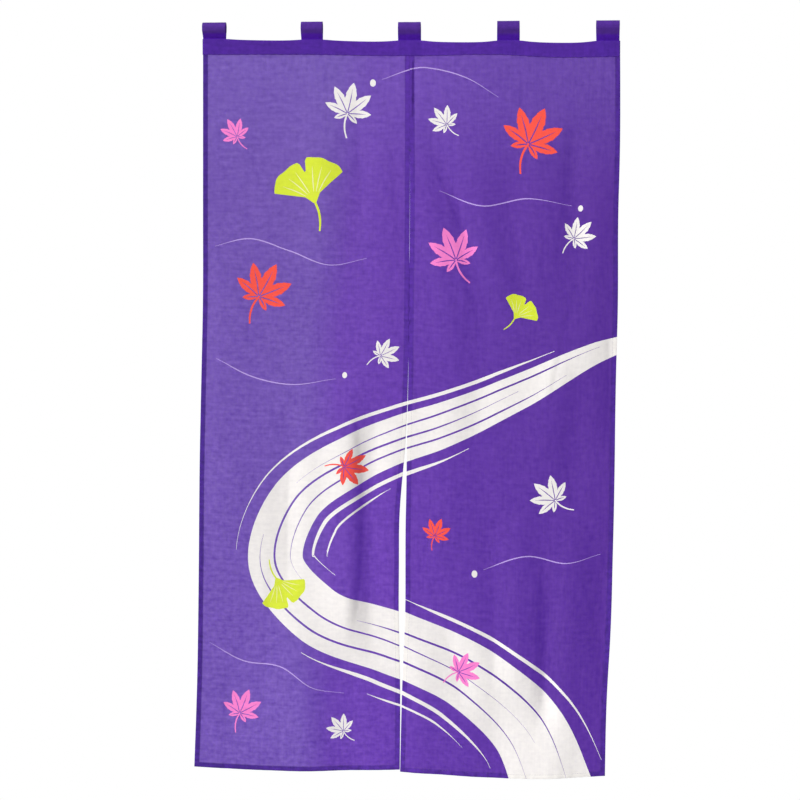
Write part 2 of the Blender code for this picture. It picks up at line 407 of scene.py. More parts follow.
    @staticmethod
    def _doubled_at(bench: Bench, across: Signal, down: Signal, hems: HemLines) -> Signal:
        """Where the hems are.

        Args:
            bench: The material's bench.
            across: Metres across the cloth.
            down: Metres down the cloth.
            hems: The panel's hems.

        Returns:
            1 on a hem and 0 off it.
        """
        soft = HEM_SHADE_EDGE
        start = hems.left + hems.width
        plain = bench.ramp_up(across, start - soft, start + soft)
        for place, edge in ((across, hems.right), (down, hems.foot)):
            end = edge - hems.width
            plain = plain * (1.0 - bench.ramp_up(place, end - soft, end + soft))
        return 1.0 - plain


@dataclass(frozen=True)
class ThreadFinish:
    """Spun polyester sewing thread."""

    name: str = "sewing_thread"
    colour: Colour = (0.070, 0.020, 0.260)
    light: Colour = (0.120, 0.050, 0.360)
    twists: float = 900.0
    roughness: float = 0.55
    rough_swing: float = 0.2
    sheen: float = 0.3

    def make(self) -> bpy.types.Material:
        """Build the material with its fine twist of light and dark.

        Returns:
            The material.
        """
        bench = Bench(bpy.data.materials.new(self.name))
        place = bench.add("ShaderNodeTexCoord", None, None, "Object")
        twist = bench.add("ShaderNodeTexNoise", None, {"Vector": place, "Scale": self.twists, "Detail": 1.0})
        sockets = {
            "Base Color": bench.blend(twist, self.colour, self.light),
            "Roughness": twist * self.rough_swing + self.roughness,
            "Sheen Weight": self.sheen,
        }
        return bench.finish(bench.add("ShaderNodeBsdfPrincipled", None, sockets))


@dataclass(frozen=True)
class StudioFinish:
    """Plain matt paper that fades, further out, into the white round it."""

    name: str = "studio_paper"
    colour: Colour = (0.90, 0.90, 0.90)
    roughness: float = 0.95
    fade: Pair = (0.3, 1.0)

    def make(self) -> bpy.types.Material:
        """Build the material.

        Returns:
            The material.
        """
        bench = Bench(bpy.data.materials.new(self.name))
        place = bench.add("ShaderNodeTexCoord", None, None, "Object")
        out = bench.add("ShaderNodeVectorMath", {"operation": "LENGTH"}, {0: place}, "Value")
        sockets = {"Base Color": solid(self.colour), "Roughness": self.roughness}
        paper = bench.add("ShaderNodeBsdfPrincipled", None, sockets)
        white = bench.add("ShaderNodeEmission", None, {"Strength": 1.0})
        faded = bench.ramp_up(out, *self.fade)
        return bench.finish(bench.add("ShaderNodeMixShader", None, {0: faded, 1: paper, 2: white}))


# Panel ground tones across the curtain, from its left: painted light, paler on the left where more light
# falls and shows through the thin cloth, darker towards the right where less light falls.
PAINTED_LIGHT_LEFT = (0.250, 0.178, 0.345)
PAINTED_LIGHT_LEFT_MIDDLE = (0.214, 0.113, 0.328)
PAINTED_LIGHT_MIDDLE = (0.200, 0.096, 0.316)
PAINTED_SHADE_RIGHT = (0.119, 0.056, 0.157)
PANEL_FINISH = ClothFinish(
    name="panel_cloth",
    tones=((0.25, PAINTED_LIGHT_LEFT), (0.33, PAINTED_LIGHT_LEFT_MIDDLE), (0.46, PAINTED_LIGHT_MIDDLE), (0.66, (0.156, 0.076, 0.239)), (1.0, PAINTED_SHADE_RIGHT)),
    doubled=((0.1, (0.087, 0.030, 0.310)), (0.5, (0.135, 0.042, 0.430)), (1.0, (0.102, 0.030, 0.350))),
    painted_backlight_reach=0.34,
)
HEADER_FINISH = ClothFinish(
    name="header_cloth",
    tones=((0.0, (0.080, 0.021, 0.312)), (0.5, (0.092, 0.025, 0.352)), (1.0, (0.076, 0.020, 0.305))),
    doubled=((0.0, (0.076, 0.020, 0.308)), (1.0, (0.074, 0.020, 0.312))),
    sheen=0.04,
    shine=0.10,
    through=0.05,
    unevenness=0.26,
    thread_fall=(0.5, 0.0),
)
# On the loops the doubled colours go where the legs meet under the curl: a deeper blue that is painted shade,
# beside the real extra layers there.
LOOP_FINISH = ClothFinish(
    name="loop_cloth",
    tones=((0.0, (0.085, 0.028, 0.278)), (1.0, (0.080, 0.024, 0.275))),
    doubled=((0.0, (0.080, 0.009, 0.400)), (1.0, (0.070, 0.009, 0.370))),
    sheen=0.04,
    shine=0.10,
    through=0.03,
    thread_fall=(0.5, 0.0),
)


# -------- curves and lattices


def soft_step(value: Array, start: float, end: float) -> Array:
    """0 at start and before it, 1 at end and past it, and a soft step between."""
    share = np.clip((np.asarray(value) - start) / (end - start), 0.0, 1.0)
    return share * share * (3.0 - 2.0 * share)


def window(value: Array, start: float, end: float, soft: float) -> Array:
    """1 between start and end, 0 beyond them, with soft edges."""
    return soft_step(value, start - soft, start + soft) * (1 - soft_step(value, end - soft, end + soft))


def run_so_far(points: Array) -> Array:
    """How far along a line each of its points lies."""
    gaps = np.linalg.norm(np.diff(points, axis=0), axis=1)
    return np.concatenate([[0.0], np.cumsum(gaps)])


def read_at(at: Array, places: Array, table: Array) -> Array:
    """A table's rows at places between its own."""
    return np.column_stack([np.interp(at, places, column) for column in table.T])


def smooth_path(stops: Array, step: float) -> Array:
    """A smooth line through a few stops.

    Args:
        stops: Rows that start with a place (across, down); any further column goes along.
        step: Distance between the points of the line.

    Returns:
        Rows like the stops', one every step.
    """
    stops = np.asarray(stops, float)
    places = run_so_far(stops[:, :2])
    slopes = np.gradient(stops, places, axis=0)
    at = np.linspace(0.0, places[-1], max(int(places[-1] / step), 3) + 1)
    i = np.clip(np.searchsorted(places, at) - 1, 0, len(places) - 2)
    span = (places[i + 1] - places[i])[:, None]
    t = (at - places[i])[:, None] / span
    return (
        (1 + 2 * t) * (1 - t) ** 2 * stops[i]
        + t * (1 - t) ** 2 * span * slopes[i]
        + t * t * (3 - 2 * t) * stops[i + 1]
        + t * t * (t - 1) * span * slopes[i + 1]
    )


def sideways(line: Array) -> Array:
    """The unit vector to the left of a line's run, at each of its points.

    Args:
        line: Points along it.

    Returns:
        A vector for each point.
    """
    run = np.gradient(line, axis=0)
    run /= np.linalg.norm(run, axis=1)[:, None]
    return np.column_stack([-run[:, 1], run[:, 0]])


def ribbon(line: Array, half: Array) -> Outline:
    """The outline of a stroke, from points along its middle and half its width at each of them."""
    side = sideways(line) * np.asarray(half)[:, None]
    return np.vstack([line + side, (line - side)[::-1]])


STROKE_SWELLS_BY, STROKE_THINS_FROM = 0.22, 0.55


def tapered(count: int, widest: float, start: float, end: float) -> Array:
    """Half widths of a brush stroke, thin at both ends.

    Args:
        count: How many.
        widest: The largest of them.
        start: Share of the largest at the start.
        end: Share of the largest at the end.

    Returns:
        The half widths.
    """
    along = np.linspace(0.0, 1.0, count)
    return widest * np.minimum(
        start + (1 - start) * soft_step(along, 0.0, STROKE_SWELLS_BY),
        end + (1 - end) * (1 - soft_step(along, STROKE_THINS_FROM, 1.0)),
    )


def spline_weights(place: Array, count: int) -> Tuple[Array, List[Array]]:
    """Where on a row of values a place falls, and the cubic weights of the four values round it.

    Args:
        place: Places from 0 to 1.
        count: How many values the row has.

    Returns:
        The index of the value before each place, and four arrays of weights.
    """
    spot = np.clip(place, 0.0, 1.0) * (count - 1)
    start = np.minimum(spot.astype(int), count - 2)
    f = spot - start
    weights = [
        (1 - f) ** 3 / 6,
        (3 * f**3 - 6 * f**2 + 4) / 6,
        (-3 * f**3 + 3 * f**2 + 3 * f + 1) / 6,
        f**3 / 6,
    ]
    return start, weights


@dataclass
class Row:
    """Values at even places between two ends, read back as a smooth curve."""

    start: float
    end: float
    values: Array

    def at(self, place: Array) -> Array:
        """The values at places, held level past both ends.

        Args:
            place: Places along the row.

        Returns:
            The values.
        """
        share = (np.asarray(place, float) - self.start) / (self.end - self.start)
        padded = np.pad(self.values, 1, mode="reflect", reflect_type="odd")
        first, weights = spline_weights(share, len(self.values))
        return sum(weight * padded[first + k] for k, weight in enumerate(weights))

    def beyond(self, place: Array) -> Array:
        """The values at places, carried on in a straight line past both ends.

        Args:
            place: Places along the row.

        Returns:
            The values.
        """
        place = np.asarray(place, float)
        held = np.clip(place, min(self.start, self.end), max(self.start, self.end))
        pitch = (self.end - self.start) / (len(self.values) - 1)
        first, last = self.values[1] - self.values[0], self.values[-1] - self.values[-2]
        slope = np.where((held - self.start) / pitch > 1.0, last, first)
        return self.at(held) + (place - held) * slope / pitch


@dataclass
class Lattice:
    """Values at even places over a unit square, read back as a smooth surface."""

    values: Array

    def at(self, s: Array, t: Array) -> Array:
        """The values at places (s, t).

        Args:
            s: Shares across.
            t: Shares down.

        Returns:
            The values.
        """
        padded = np.pad(self.values, 1, mode="reflect", reflect_type="odd")
        i, across = spline_weights(s, self.values.shape[0])
        j, down = spline_weights(t, self.values.shape[1])
        total = np.zeros(np.broadcast(s, t).shape)
        for a, weight in enumerate(across):
            for b, other in enumerate(down):
                total += weight * other * padded[i + a, j + b]
        return total


# -------- the print


@dataclass(frozen=True)
class Patch:
    """One flat area of the print."""

    dye: Dye
    outline: Outline


class Brush(NamedTuple):
    """A stroke's greatest half width as a share of the motif's span, and shares of it at both ends."""

    half: float
    start: float
    end: float


@dataclass(frozen=True)
class Motif:
    """A motif set on the cloth by its middle, its span and its turn in degrees."""

    STROKE_STEP = 0.003
    across: float
    down: float
    span: float
    turn: float
    dye: Dye
    line_dye: Dye = Dye.GROUND

    def set_down(self, shape: Array) -> Array:
        """Points of the motif's own frame, whose up is up the cloth, as places on the cloth.

        Args:
            shape: Rows of points.

        Returns:
            Rows (across, down).
        """
        angle = math.radians(self.turn)
        u, v = shape[:, 0] * self.span, shape[:, 1] * self.span
        across = self.across + u * math.cos(angle) + v * math.sin(angle)
        down = self.down + u * math.sin(angle) - v * math.cos(angle)
        return np.column_stack([across, down])

    def stroke(self, stops: Sequence[Sequence[float]], brush: Brush, dye: Dye) -> Patch:
        """A stroke through stops in the motif's own frame, in a brush's width and one colour."""
        line = smooth_path(self.set_down(np.asarray(stops, float)), self.STROKE_STEP)
        return Patch(dye, ribbon(line, tapered(len(line), brush.half * self.span, brush.start, brush.end)))


class Lobe(NamedTuple):
    """One finger of a maple leaf: its direction in degrees from the tip, its length and half width."""

    turn: float
    length: float
    half: float


@dataclass(frozen=True)
class MapleLeaf(Motif):
    """A seven-fingered maple leaf with its veins and stem."""

    LOBES = (
        Lobe(0, 0.560, 0.088),
        Lobe(-38, 0.520, 0.080),
        Lobe(40, 0.530, 0.082),
        Lobe(-78, 0.430, 0.066),
        Lobe(80, 0.420, 0.064),
        Lobe(-122, 0.250, 0.042),
        Lobe(124, 0.240, 0.040),
    )
    STEPS = 22
    TEETH, TOOTH_DEPTH = 5.0, 0.16
    TEETH_FADE_IN = (0.25, 0.4)
    LEAN_TO_TIP, BLUNTNESS, WIDE_BASE = 1.15, 0.85, 0.18
    STEM = ((0.0, 0.02), (-0.015, -0.16), (0.02, -0.32), (0.075, -0.43))
    STEM_BRUSH = Brush(0.015, 0.9, 0.8)
    VEIN_START, VEIN_SHARE, VEIN_BEND = 0.015, 0.78, 0.006
    VEIN_BRUSH = Brush(0.0085, 0.9, 0.2)

    def patches(self) -> List[Patch]:
        """Every area of the leaf, in the order in which they are printed.

        Returns:
            The patches.
        """
        fingers = [Patch(self.dye, self.set_down(self.finger(lobe))) for lobe in self.LOBES]
        fingers.append(self.stroke(self.STEM, self.STEM_BRUSH, self.dye))
        return fingers + [self.vein(lobe) for lobe in self.LOBES]

    def finger(self, lobe: Lobe) -> Array:
        """One finger's outline in the leaf's own frame: widest near its middle, with small teeth.

        Args:
            lobe: The finger's direction and size.

        Returns:
            The points round it.
        """
        along = np.linspace(0.0, 1.0, self.STEPS)
        saw = (along * self.TEETH) % 1.0
        teeth = 1.0 + self.TOOTH_DEPTH * (0.5 - saw) * soft_step(along, *self.TEETH_FADE_IN)
        bulge = np.sin(np.pi * along**self.LEAN_TO_TIP) ** self.BLUNTNESS + self.WIDE_BASE * (1 - along)
        half = lobe.half * np.clip(bulge, 0.0, None) * teeth
        half[-1] = 0.0
        left = np.column_stack([-half, along * lobe.length])
        right = np.column_stack([half[:-1], along[:-1] * lobe.length])[::-1]
        return self.turned(np.vstack([left, right]), lobe.turn)

    @staticmethod
    def turned(shape: Array, degrees: float) -> Array:
        """A shape turned clockwise about the leaf's base.

        Args:
            shape: Rows of points.
            degrees: How far.

        Returns:
            The turned points.
        """
        angle = math.radians(degrees)
        cos, sin = math.cos(angle), math.sin(angle)
        x, y = shape[:, 0], shape[:, 1]
        return np.column_stack([x * cos + y * sin, y * cos - x * sin])

    def vein(self, lobe: Lobe) -> Patch:
        """The bare line along one finger.

        Args:
            lobe: The finger's direction and size.

        Returns:
            The patch.
        """
        straight = np.array([(0.0, self.VEIN_START), (0.0, lobe.length * self.VEIN_SHARE)])
        ends = self.turned(straight, lobe.turn)
        middle = ends.mean(axis=0) + self.VEIN_BEND
        return self.stroke([ends[0], middle, ends[1]], self.VEIN_BRUSH, self.line_dye)


@dataclass(frozen=True)
class GinkgoLeaf(Motif):
    """A fan-shaped ginkgo leaf with its notch, veins and stem.

    Waves of its rim are (height, turns in a degree, shift in degrees) rows. Points of a vein and of a
    hollow side are (share of the direction, distance from the base) rows.
    """

    HALF_FAN = 58.0
    RIM, RIM_STEPS = 0.62, 44
    WAVES = ((0.010, 7.0, 20.0), (0.006, 17.0, 0.0))
    NOTCH, NOTCH_HALF = 0.20, 3.2
    ROUNDING, ROUND_POWER = 0.05, 6
    SIDE = ((0.93, 0.36), (0.72, 0.16))
    BASE_HALF = 0.012
    STEM = ((0.0, 0.03), (0.01, -0.12), (-0.02, -0.28), (-0.06, -0.38))
    STEM_BRUSH = Brush(0.016, 1.0, 0.7)
    VEINS = (-44.0, -29.0, -15.0, 13.0, 28.0, 43.0)
    VEIN = ((0.8, 0.16), (0.92, 0.33), (1.0, 0.50))
    VEIN_BRUSH = Brush(0.007, 0.4, 0.3)

    def patches(self) -> List[Patch]:
        """Every area of the leaf, in the order in which they are printed.

        Returns:
            The patches.
        """
        leaf = [Patch(self.dye, self.set_down(self.fan()))]
        leaf.append(self.stroke(self.STEM, self.STEM_BRUSH, self.dye))
        for degrees in self.VEINS:
            vein = [self.ray(degrees * share, reach) for share, reach in self.VEIN]
            leaf.append(self.stroke(vein, self.VEIN_BRUSH, self.line_dye))
        return leaf

    @staticmethod
    def ray(degrees: float, reach: float) -> Pair:
        """A point at a direction and distance from the leaf's base."""
        angle = math.radians(degrees)
        return reach * math.sin(angle), reach * math.cos(angle)

    def fan(self) -> Array:
        """The blade's outline: a waved rim with a notch, and two hollow sides.

        Returns:
            The points round it.
        """
        degrees = np.linspace(-self.HALF_FAN, self.HALF_FAN, self.RIM_STEPS)
        wave = sum(high * np.sin(np.radians(degrees * turns + shift)) for high, turns, shift in self.WAVES)
        notch = self.NOTCH * np.exp(-((degrees / self.NOTCH_HALF) ** 2))
        ends = self.ROUNDING * (np.abs(degrees) / self.HALF_FAN) ** self.ROUND_POWER
        rim = [self.ray(angle, reach) for angle, reach in zip(degrees, self.RIM + wave - notch - ends)]
        right = [self.ray(self.HALF_FAN * share, reach) for share, reach in self.SIDE]
        right.append((self.BASE_HALF, 0.0))
        left = [(-x, y) for x, y in right[::-1]]
        return np.array([*rim, *right, *left])


class FlowLine(NamedTuple):
    """A line that runs with the stream: its offset in half widths, ends as shares, and half width."""

    offset: float
    start: float
    end: float
    half: float


@dataclass(frozen=True)
class Stream:
    """Flowing water: one broad white band, parted by bare lines, with loose strands beside it."""

    step: float = 0.006
    sway: float = 0.05
    sway_turns: float = 17.0
    sway_shift: float = 9.0
    taper: Pair = (0.15, 0.10)
    stops: Tuple[Tuple[float, float, float], ...] = (
        (0.480, 0.600, 0.012),
        (0.360, 0.640, 0.024),
        (0.220, 0.712, 0.036),
        (0.060, 0.785, 0.046),
        (-0.100, 0.850, 0.052),
        (-0.225, 0.945, 0.056),
        (-0.262, 1.070, 0.058),
        (-0.175, 1.175, 0.062),
        (-0.020, 1.235, 0.066),
        (0.140, 1.300, 0.070),
        (0.260, 1.400, 0.076),
        (0.330, 1.560, 0.082),
    )
    bare: Tuple[FlowLine, ...] = (
        FlowLine(-0.50, 0.10, 0.58, 0.0018),
        FlowLine(-0.42, 0.66, 0.985, 0.0021),
        FlowLine(0.02, 0.16, 0.92, 0.0021),
        FlowLine(0.48, 0.05, 0.44, 0.0018),
        FlowLine(0.52, 0.50, 0.97, 0.0022),
    )
    strands: Tuple[FlowLine, ...] = (
        FlowLine(1.42, 0.10, 0.52, 0.0036),
        FlowLine(-1.42, 0.24, 0.60, 0.0040),
        FlowLine(-1.86, 0.34, 0.55, 0.0022),
        FlowLine(1.38, 0.62, 0.93, 0.0040),
        FlowLine(-1.36, 0.70, 0.97, 0.0036),
        FlowLine(1.78, 0.70, 0.86, 0.0022),
    )

    def patches(self) -> List[Patch]:
        """The band, the lines that part it, and the strands beside it.

        Returns:
            The patches.
        """
        middle = smooth_path(np.array(self.stops), self.step)
        line, half = middle[:, :2], middle[:, 2]
        made = [Patch(Dye.WHITE, ribbon(line, half))]
        made += [self.strand(line, half, row, Dye.GROUND) for row in self.bare]
        return made + [self.strand(line, half, row, Dye.WHITE) for row in self.strands]

    def strand(self, line: Array, half: Array, row: FlowLine, dye: Dye) -> Patch:
        """One line that keeps its place across the stream.

        Args:
            line: The stream's middle.
            half: Half the stream's width at each of its points.
            row: The line's offset, ends and half width.
            dye: Its colour.

        Returns:
            The patch.
        """
        share = np.linspace(0.0, 1.0, len(line))
        sway = self.sway * np.sin(share * self.sway_turns + row.offset * self.sway_shift)
        moved = line + sideways(line) * ((row.offset + sway) * half)[:, None]
        moved = moved[(share >= row.start) & (share <= row.end)]
        return Patch(dye, ribbon(moved, tapered(len(moved), row.half, *self.taper)))


@dataclass(frozen=True)
class Rill:
    """A thin curved line of light water, with a drop or two at its end."""

    stops: Tuple[Pair, ...]
    drops: Tuple[Tuple[float, float, float], ...] = ()
    half: float = 0.0012
    step: float = 0.005
    taper: Pair = (0.3, 0.3)
    drop_sides: int = 18
    drop_length: float = 1.25

    def patches(self) -> List[Patch]:
        """The line and its drops.

        Returns:
            The patches.
        """
        line = smooth_path(np.array(self.stops), self.step)
        made = [Patch(Dye.LAVENDER, ribbon(line, tapered(len(line), self.half, *self.taper)))]
        angles = np.linspace(0.0, 2 * math.pi, self.drop_sides, endpoint=False)
        circle = np.column_stack([np.cos(angles), np.sin(angles) * self.drop_length])
        made += [Patch(Dye.WHITE, circle * size + (x, d)) for x, d, size in self.drops]
        return made


@dataclass(frozen=True)
class WaterAndLeaves:
    """The whole print: a stream with maple and ginkgo leaves on it and over it."""

    rills: Tuple[Rill, ...] = (
        Rill(((-0.400, 0.420), (-0.330, 0.402), (-0.250, 0.425), (-0.170, 0.455), (-0.090, 0.440))),
        Rill(((-0.060, 0.075), (0.030, 0.052), (0.120, 0.072), (0.180, 0.112)), ((-0.078, 0.082, 0.006),)),
        Rill(((0.060, 0.300), (0.150, 0.330), (0.250, 0.315), (0.330, 0.328)), ((0.348, 0.334, 0.005),)),
        Rill(((-0.395, 0.650), (-0.320, 0.685), (-0.230, 0.700), (-0.150, 0.688)), ((-0.132, 0.680, 0.005),)),
        Rill(((0.160, 1.075), (0.250, 1.045), (0.330, 1.060), (0.400, 1.045)), ((0.142, 1.084, 0.006),)),
        Rill(((-0.400, 1.240), (-0.330, 1.275), (-0.250, 1.285), (-0.180, 1.330), (-0.120, 1.340))),
    )
    stream: Stream = Stream()
    leaves: Tuple[Motif, ...] = (
        MapleLeaf(0.240, 0.205, 0.145, 24, Dye.RED),
        MapleLeaf(0.075, 0.165, 0.075, -38, Dye.WHITE),
        MapleLeaf(-0.130, 0.145, 0.115, 12, Dye.WHITE),
        MapleLeaf(-0.355, 0.195, 0.072, -30, Dye.PINK),
        MapleLeaf(-0.310, 0.520, 0.135, 28, Dye.RED),
        MapleLeaf(0.095, 0.440, 0.125, -22, Dye.PINK),
        MapleLeaf(0.335, 0.395, 0.085, 48, Dye.WHITE),
        GinkgoLeaf(-0.195, 0.330, 0.150, -18, Dye.LIME, Dye.CREAM),
        GinkgoLeaf(0.215, 0.560, 0.080, 35, Dye.LIME, Dye.CREAM),
        MapleLeaf(-0.060, 0.640, 0.075, 66, Dye.WHITE),
        MapleLeaf(-0.125, 0.868, 0.092, 100, Dye.RED),
        GinkgoLeaf(-0.262, 1.100, 0.105, 150, Dye.LIME, Dye.CREAM),
        MapleLeaf(0.115, 1.290, 0.088, 62, Dye.PINK),
        MapleLeaf(0.305, 0.930, 0.100, -52, Dye.WHITE),
        MapleLeaf(-0.335, 1.385, 0.095, 20, Dye.PINK),
        MapleLeaf(0.060, 1.010, 0.070, 20, Dye.RED),
        MapleLeaf(-0.120, 1.420, 0.070, -40, Dye.WHITE),
    )

    def patches(self) -> List[Patch]:
        """Every area, in the order in which they are printed."""
        parts = (*self.rills, self.stream, *self.leaves)
        return [patch for part in parts for patch in part.patches()]


# -------- reading the frame


@dataclass
class HungSolid:
    """A node of the frame as triangles, which can be cut level or upright."""

    RAY_START = 0.3
    node: Object

    def __post_init__(self) -> None:
        """Read the points, the edges and a tree for rays."""
        mesh = self.node.data
        points = np.empty(len(mesh.vertices) * 3)
        mesh.vertices.foreach_get("co", points)
        self.points = points.reshape(-1, 3)
        pairs = np.empty(len(mesh.edges) * 2, int)
        mesh.edges.foreach_get("vertices", pairs)
        self.edges = pairs.reshape(-1, 2)
        faces = [tuple(face.vertices) for face in mesh.polygons]
        self.tree = BVHTree.FromPolygons(self.points.tolist(), faces)

    def section(self, axis: int, level: float) -> Array:
        """Points where the solid's edges cross a plane.

        Args:
            axis: 0 for a plane of one x, 2 for a plane of one z.
            level: Where the plane lies.

        Returns:
            The points.
        """
        start, end = self.points[self.edges[:, 0]], self.points[self.edges[:, 1]]
        low, high = start[:, axis] - level, end[:, axis] - level
        cut = low * high < 0.0
        share = (low[cut] / (low[cut] - high[cut]))[:, None]
        return start[cut] + share * (end[cut] - start[cut])

    def ends(self, axis: int, of: int, start: float, end: float, count: int) -> Tuple[Row, Row]:
        """The least and greatest of one coordinate at planes across another.

        Args:
            axis: The planes' axis.
            of: The coordinate that is read.
            start: The first plane.
            end: The last plane.
            count: How many planes.

        Returns:
            Two rows of values.
        """
        cuts = [self.section(axis, level)[:, of] for level in np.linspace(start, end, count)]
        least = np.array([cut.min() for cut in cuts])
        greatest = np.array([cut.max() for cut in cuts])
        return Row(start, end, least), Row(start, end, greatest)

    def middle_depth(self, x: float, z: float, around: float) -> float:
        """Depth of the cloth's middle at a place.

        Args:
            x: The place.
            z: Its height.
            around: The depth that it takes where the place misses the cloth.

        Returns:
            The depth.
        """
        front = self.tree.ray_cast(Vector((x, -self.RAY_START, z)), Vector((0, 1, 0)))[0]
        back = self.tree.ray_cast(Vector((x, self.RAY_START, z)), Vector((0, -1, 0)))[0]
        return (front.y + back.y) / 2 if front and back else around


class HungSheet:
    """Where one panel hangs: its outline and the depth of its middle, read from the frame.

    The cloth ends an inset inside the solid's edge. On the slit's side it reaches further out, both
    in the sewn stretch above the slit and in the slit's own middle, which hangs almost shut.
    """

    ACROSS, DOWN = 36, 66
    LEVELS, STOPS = 46, 40
    CLEAR = 4 * MM
    NEAR_END = 8 * CLEAR
    EDGE_SHARE = 0.004
    ROUNDS = 3
    INSET = 0.25 * MM
    SEAM_INSET = -0.14 * MM
    SEAM_END, SEAM_FADE = -0.243, 0.016
    SHUT_INSET = -0.29 * MM
    SHUT_FROM, SHUT_TO, SHUT_FADE = 0.478, 0.671, 0.030

    def __init__(self, node: Object, seam_side: int) -> None:
        """Read the outline and the depths.

        Args:
            node: The panel's node.
            seam_side: -1 where the seam is on the panel's left, 1 where it is on its right.
        """
        self.seam_side = seam_side
        solid_panel = HungSolid(node)
        points = solid_panel.points
        low, high = points.min(axis=0), points.max(axis=0)
        near_top = points[points[:, 2] > high[2] - self.NEAR_END, 0]
        near_foot = points[points[:, 2] < low[2] + self.NEAR_END, 0]
        top_ends, foot_ends = ((x.min() + self.CLEAR, x.max() - self.CLEAR) for x in (near_top, near_foot))
        self.top = solid_panel.ends(0, 2, *top_ends, self.STOPS)[1]
        self.foot = solid_panel.ends(0, 2, *foot_ends, self.STOPS)[0]
        first = self.top.values.min() - self.CLEAR / 2
        last = self.foot.values.max() + self.CLEAR / 2
        self.left, self.right = solid_panel.ends(2, 0, first, last, self.LEVELS)
        self.width = float(np.mean(self.right.values - self.left.values)) - 2 * self.INSET
        self.drop = float(self.top.values.mean() - self.foot.values.mean())
        self.depths = self.read_depths(solid_panel)
        LOG.info("%s hangs %.4f m wide and %.4f m deep", node.name, self.width, self.drop)

    def read_depths(self, solid_panel: HungSolid) -> Lattice:
        """Depth of the cloth's middle, over the panel's whole face.

        Args:
            solid_panel: The panel's solid.

        Returns:
            The depths.
        """
        s, t = np.meshgrid(np.linspace(0, 1, self.ACROSS), np.linspace(0, 1, self.DOWN), indexing="ij")
        x, z = self.outline_place(*(np.clip(side, self.EDGE_SHARE, 1 - self.EDGE_SHARE) for side in (s, t)))
        values = np.zeros(s.shape)
        last = 0.0
        for spot in np.ndindex(s.shape):
            last = solid_panel.middle_depth(x[spot], z[spot], last)
            values[spot] = last
        return Lattice(values)

    def outline_place(self, s: Array, t: Array) -> Tuple[Array, Array]:
        """Where a share of the width and of the drop falls, as x and z.

        Args:
            s: Shares of the width.
            t: Shares of the drop.

        Returns:
            The places' x and z.
        """
        z = -t * self.drop
        for _ in range(self.ROUNDS):
            sewn = 1 - soft_step(-z, -self.SEAM_END, -self.SEAM_END + self.SEAM_FADE)
            shut = window(-z, self.SHUT_FROM, self.SHUT_TO, self.SHUT_FADE)
            inset = self.SEAM_INSET * sewn + self.SHUT_INSET * shut
            left = self.left.beyond(z) + np.where(self.seam_side < 0, inset, self.INSET)
            right = self.right.beyond(z) - np.where(self.seam_side > 0, inset, self.INSET)
            x = left + s * (right - left)
            top, foot = self.top.beyond(x), self.foot.beyond(x)
            z = top + t * (foot - top)
        return x, z


# -------- creases of thin cloth


SLOW_RETURN = 3.5
CREASE_GROWS_BY, CREASE_FADES_FROM = 0.3, 0.7
GROOVE_LINES = tuple(line * MM for line in range(1, 10))


class Crease(NamedTuple):
    """A soft ridge (rise over 0, to the front) or a crease (rise under 0), from its top to its lower end.

    A crease falls back ever more steeply from its left, and then comes slowly to the front again.
    """

    x_top: float
    z_top: float
    x_foot: float
    z_foot: float
    bow: float
    half: float
    rise: float


class Pucker(NamedTuple):
    """Waves beside some sewing: share of the height, of the fineness, drift, and reach in metres."""

    height: float
    fineness: float
    drift: float
    reach: float


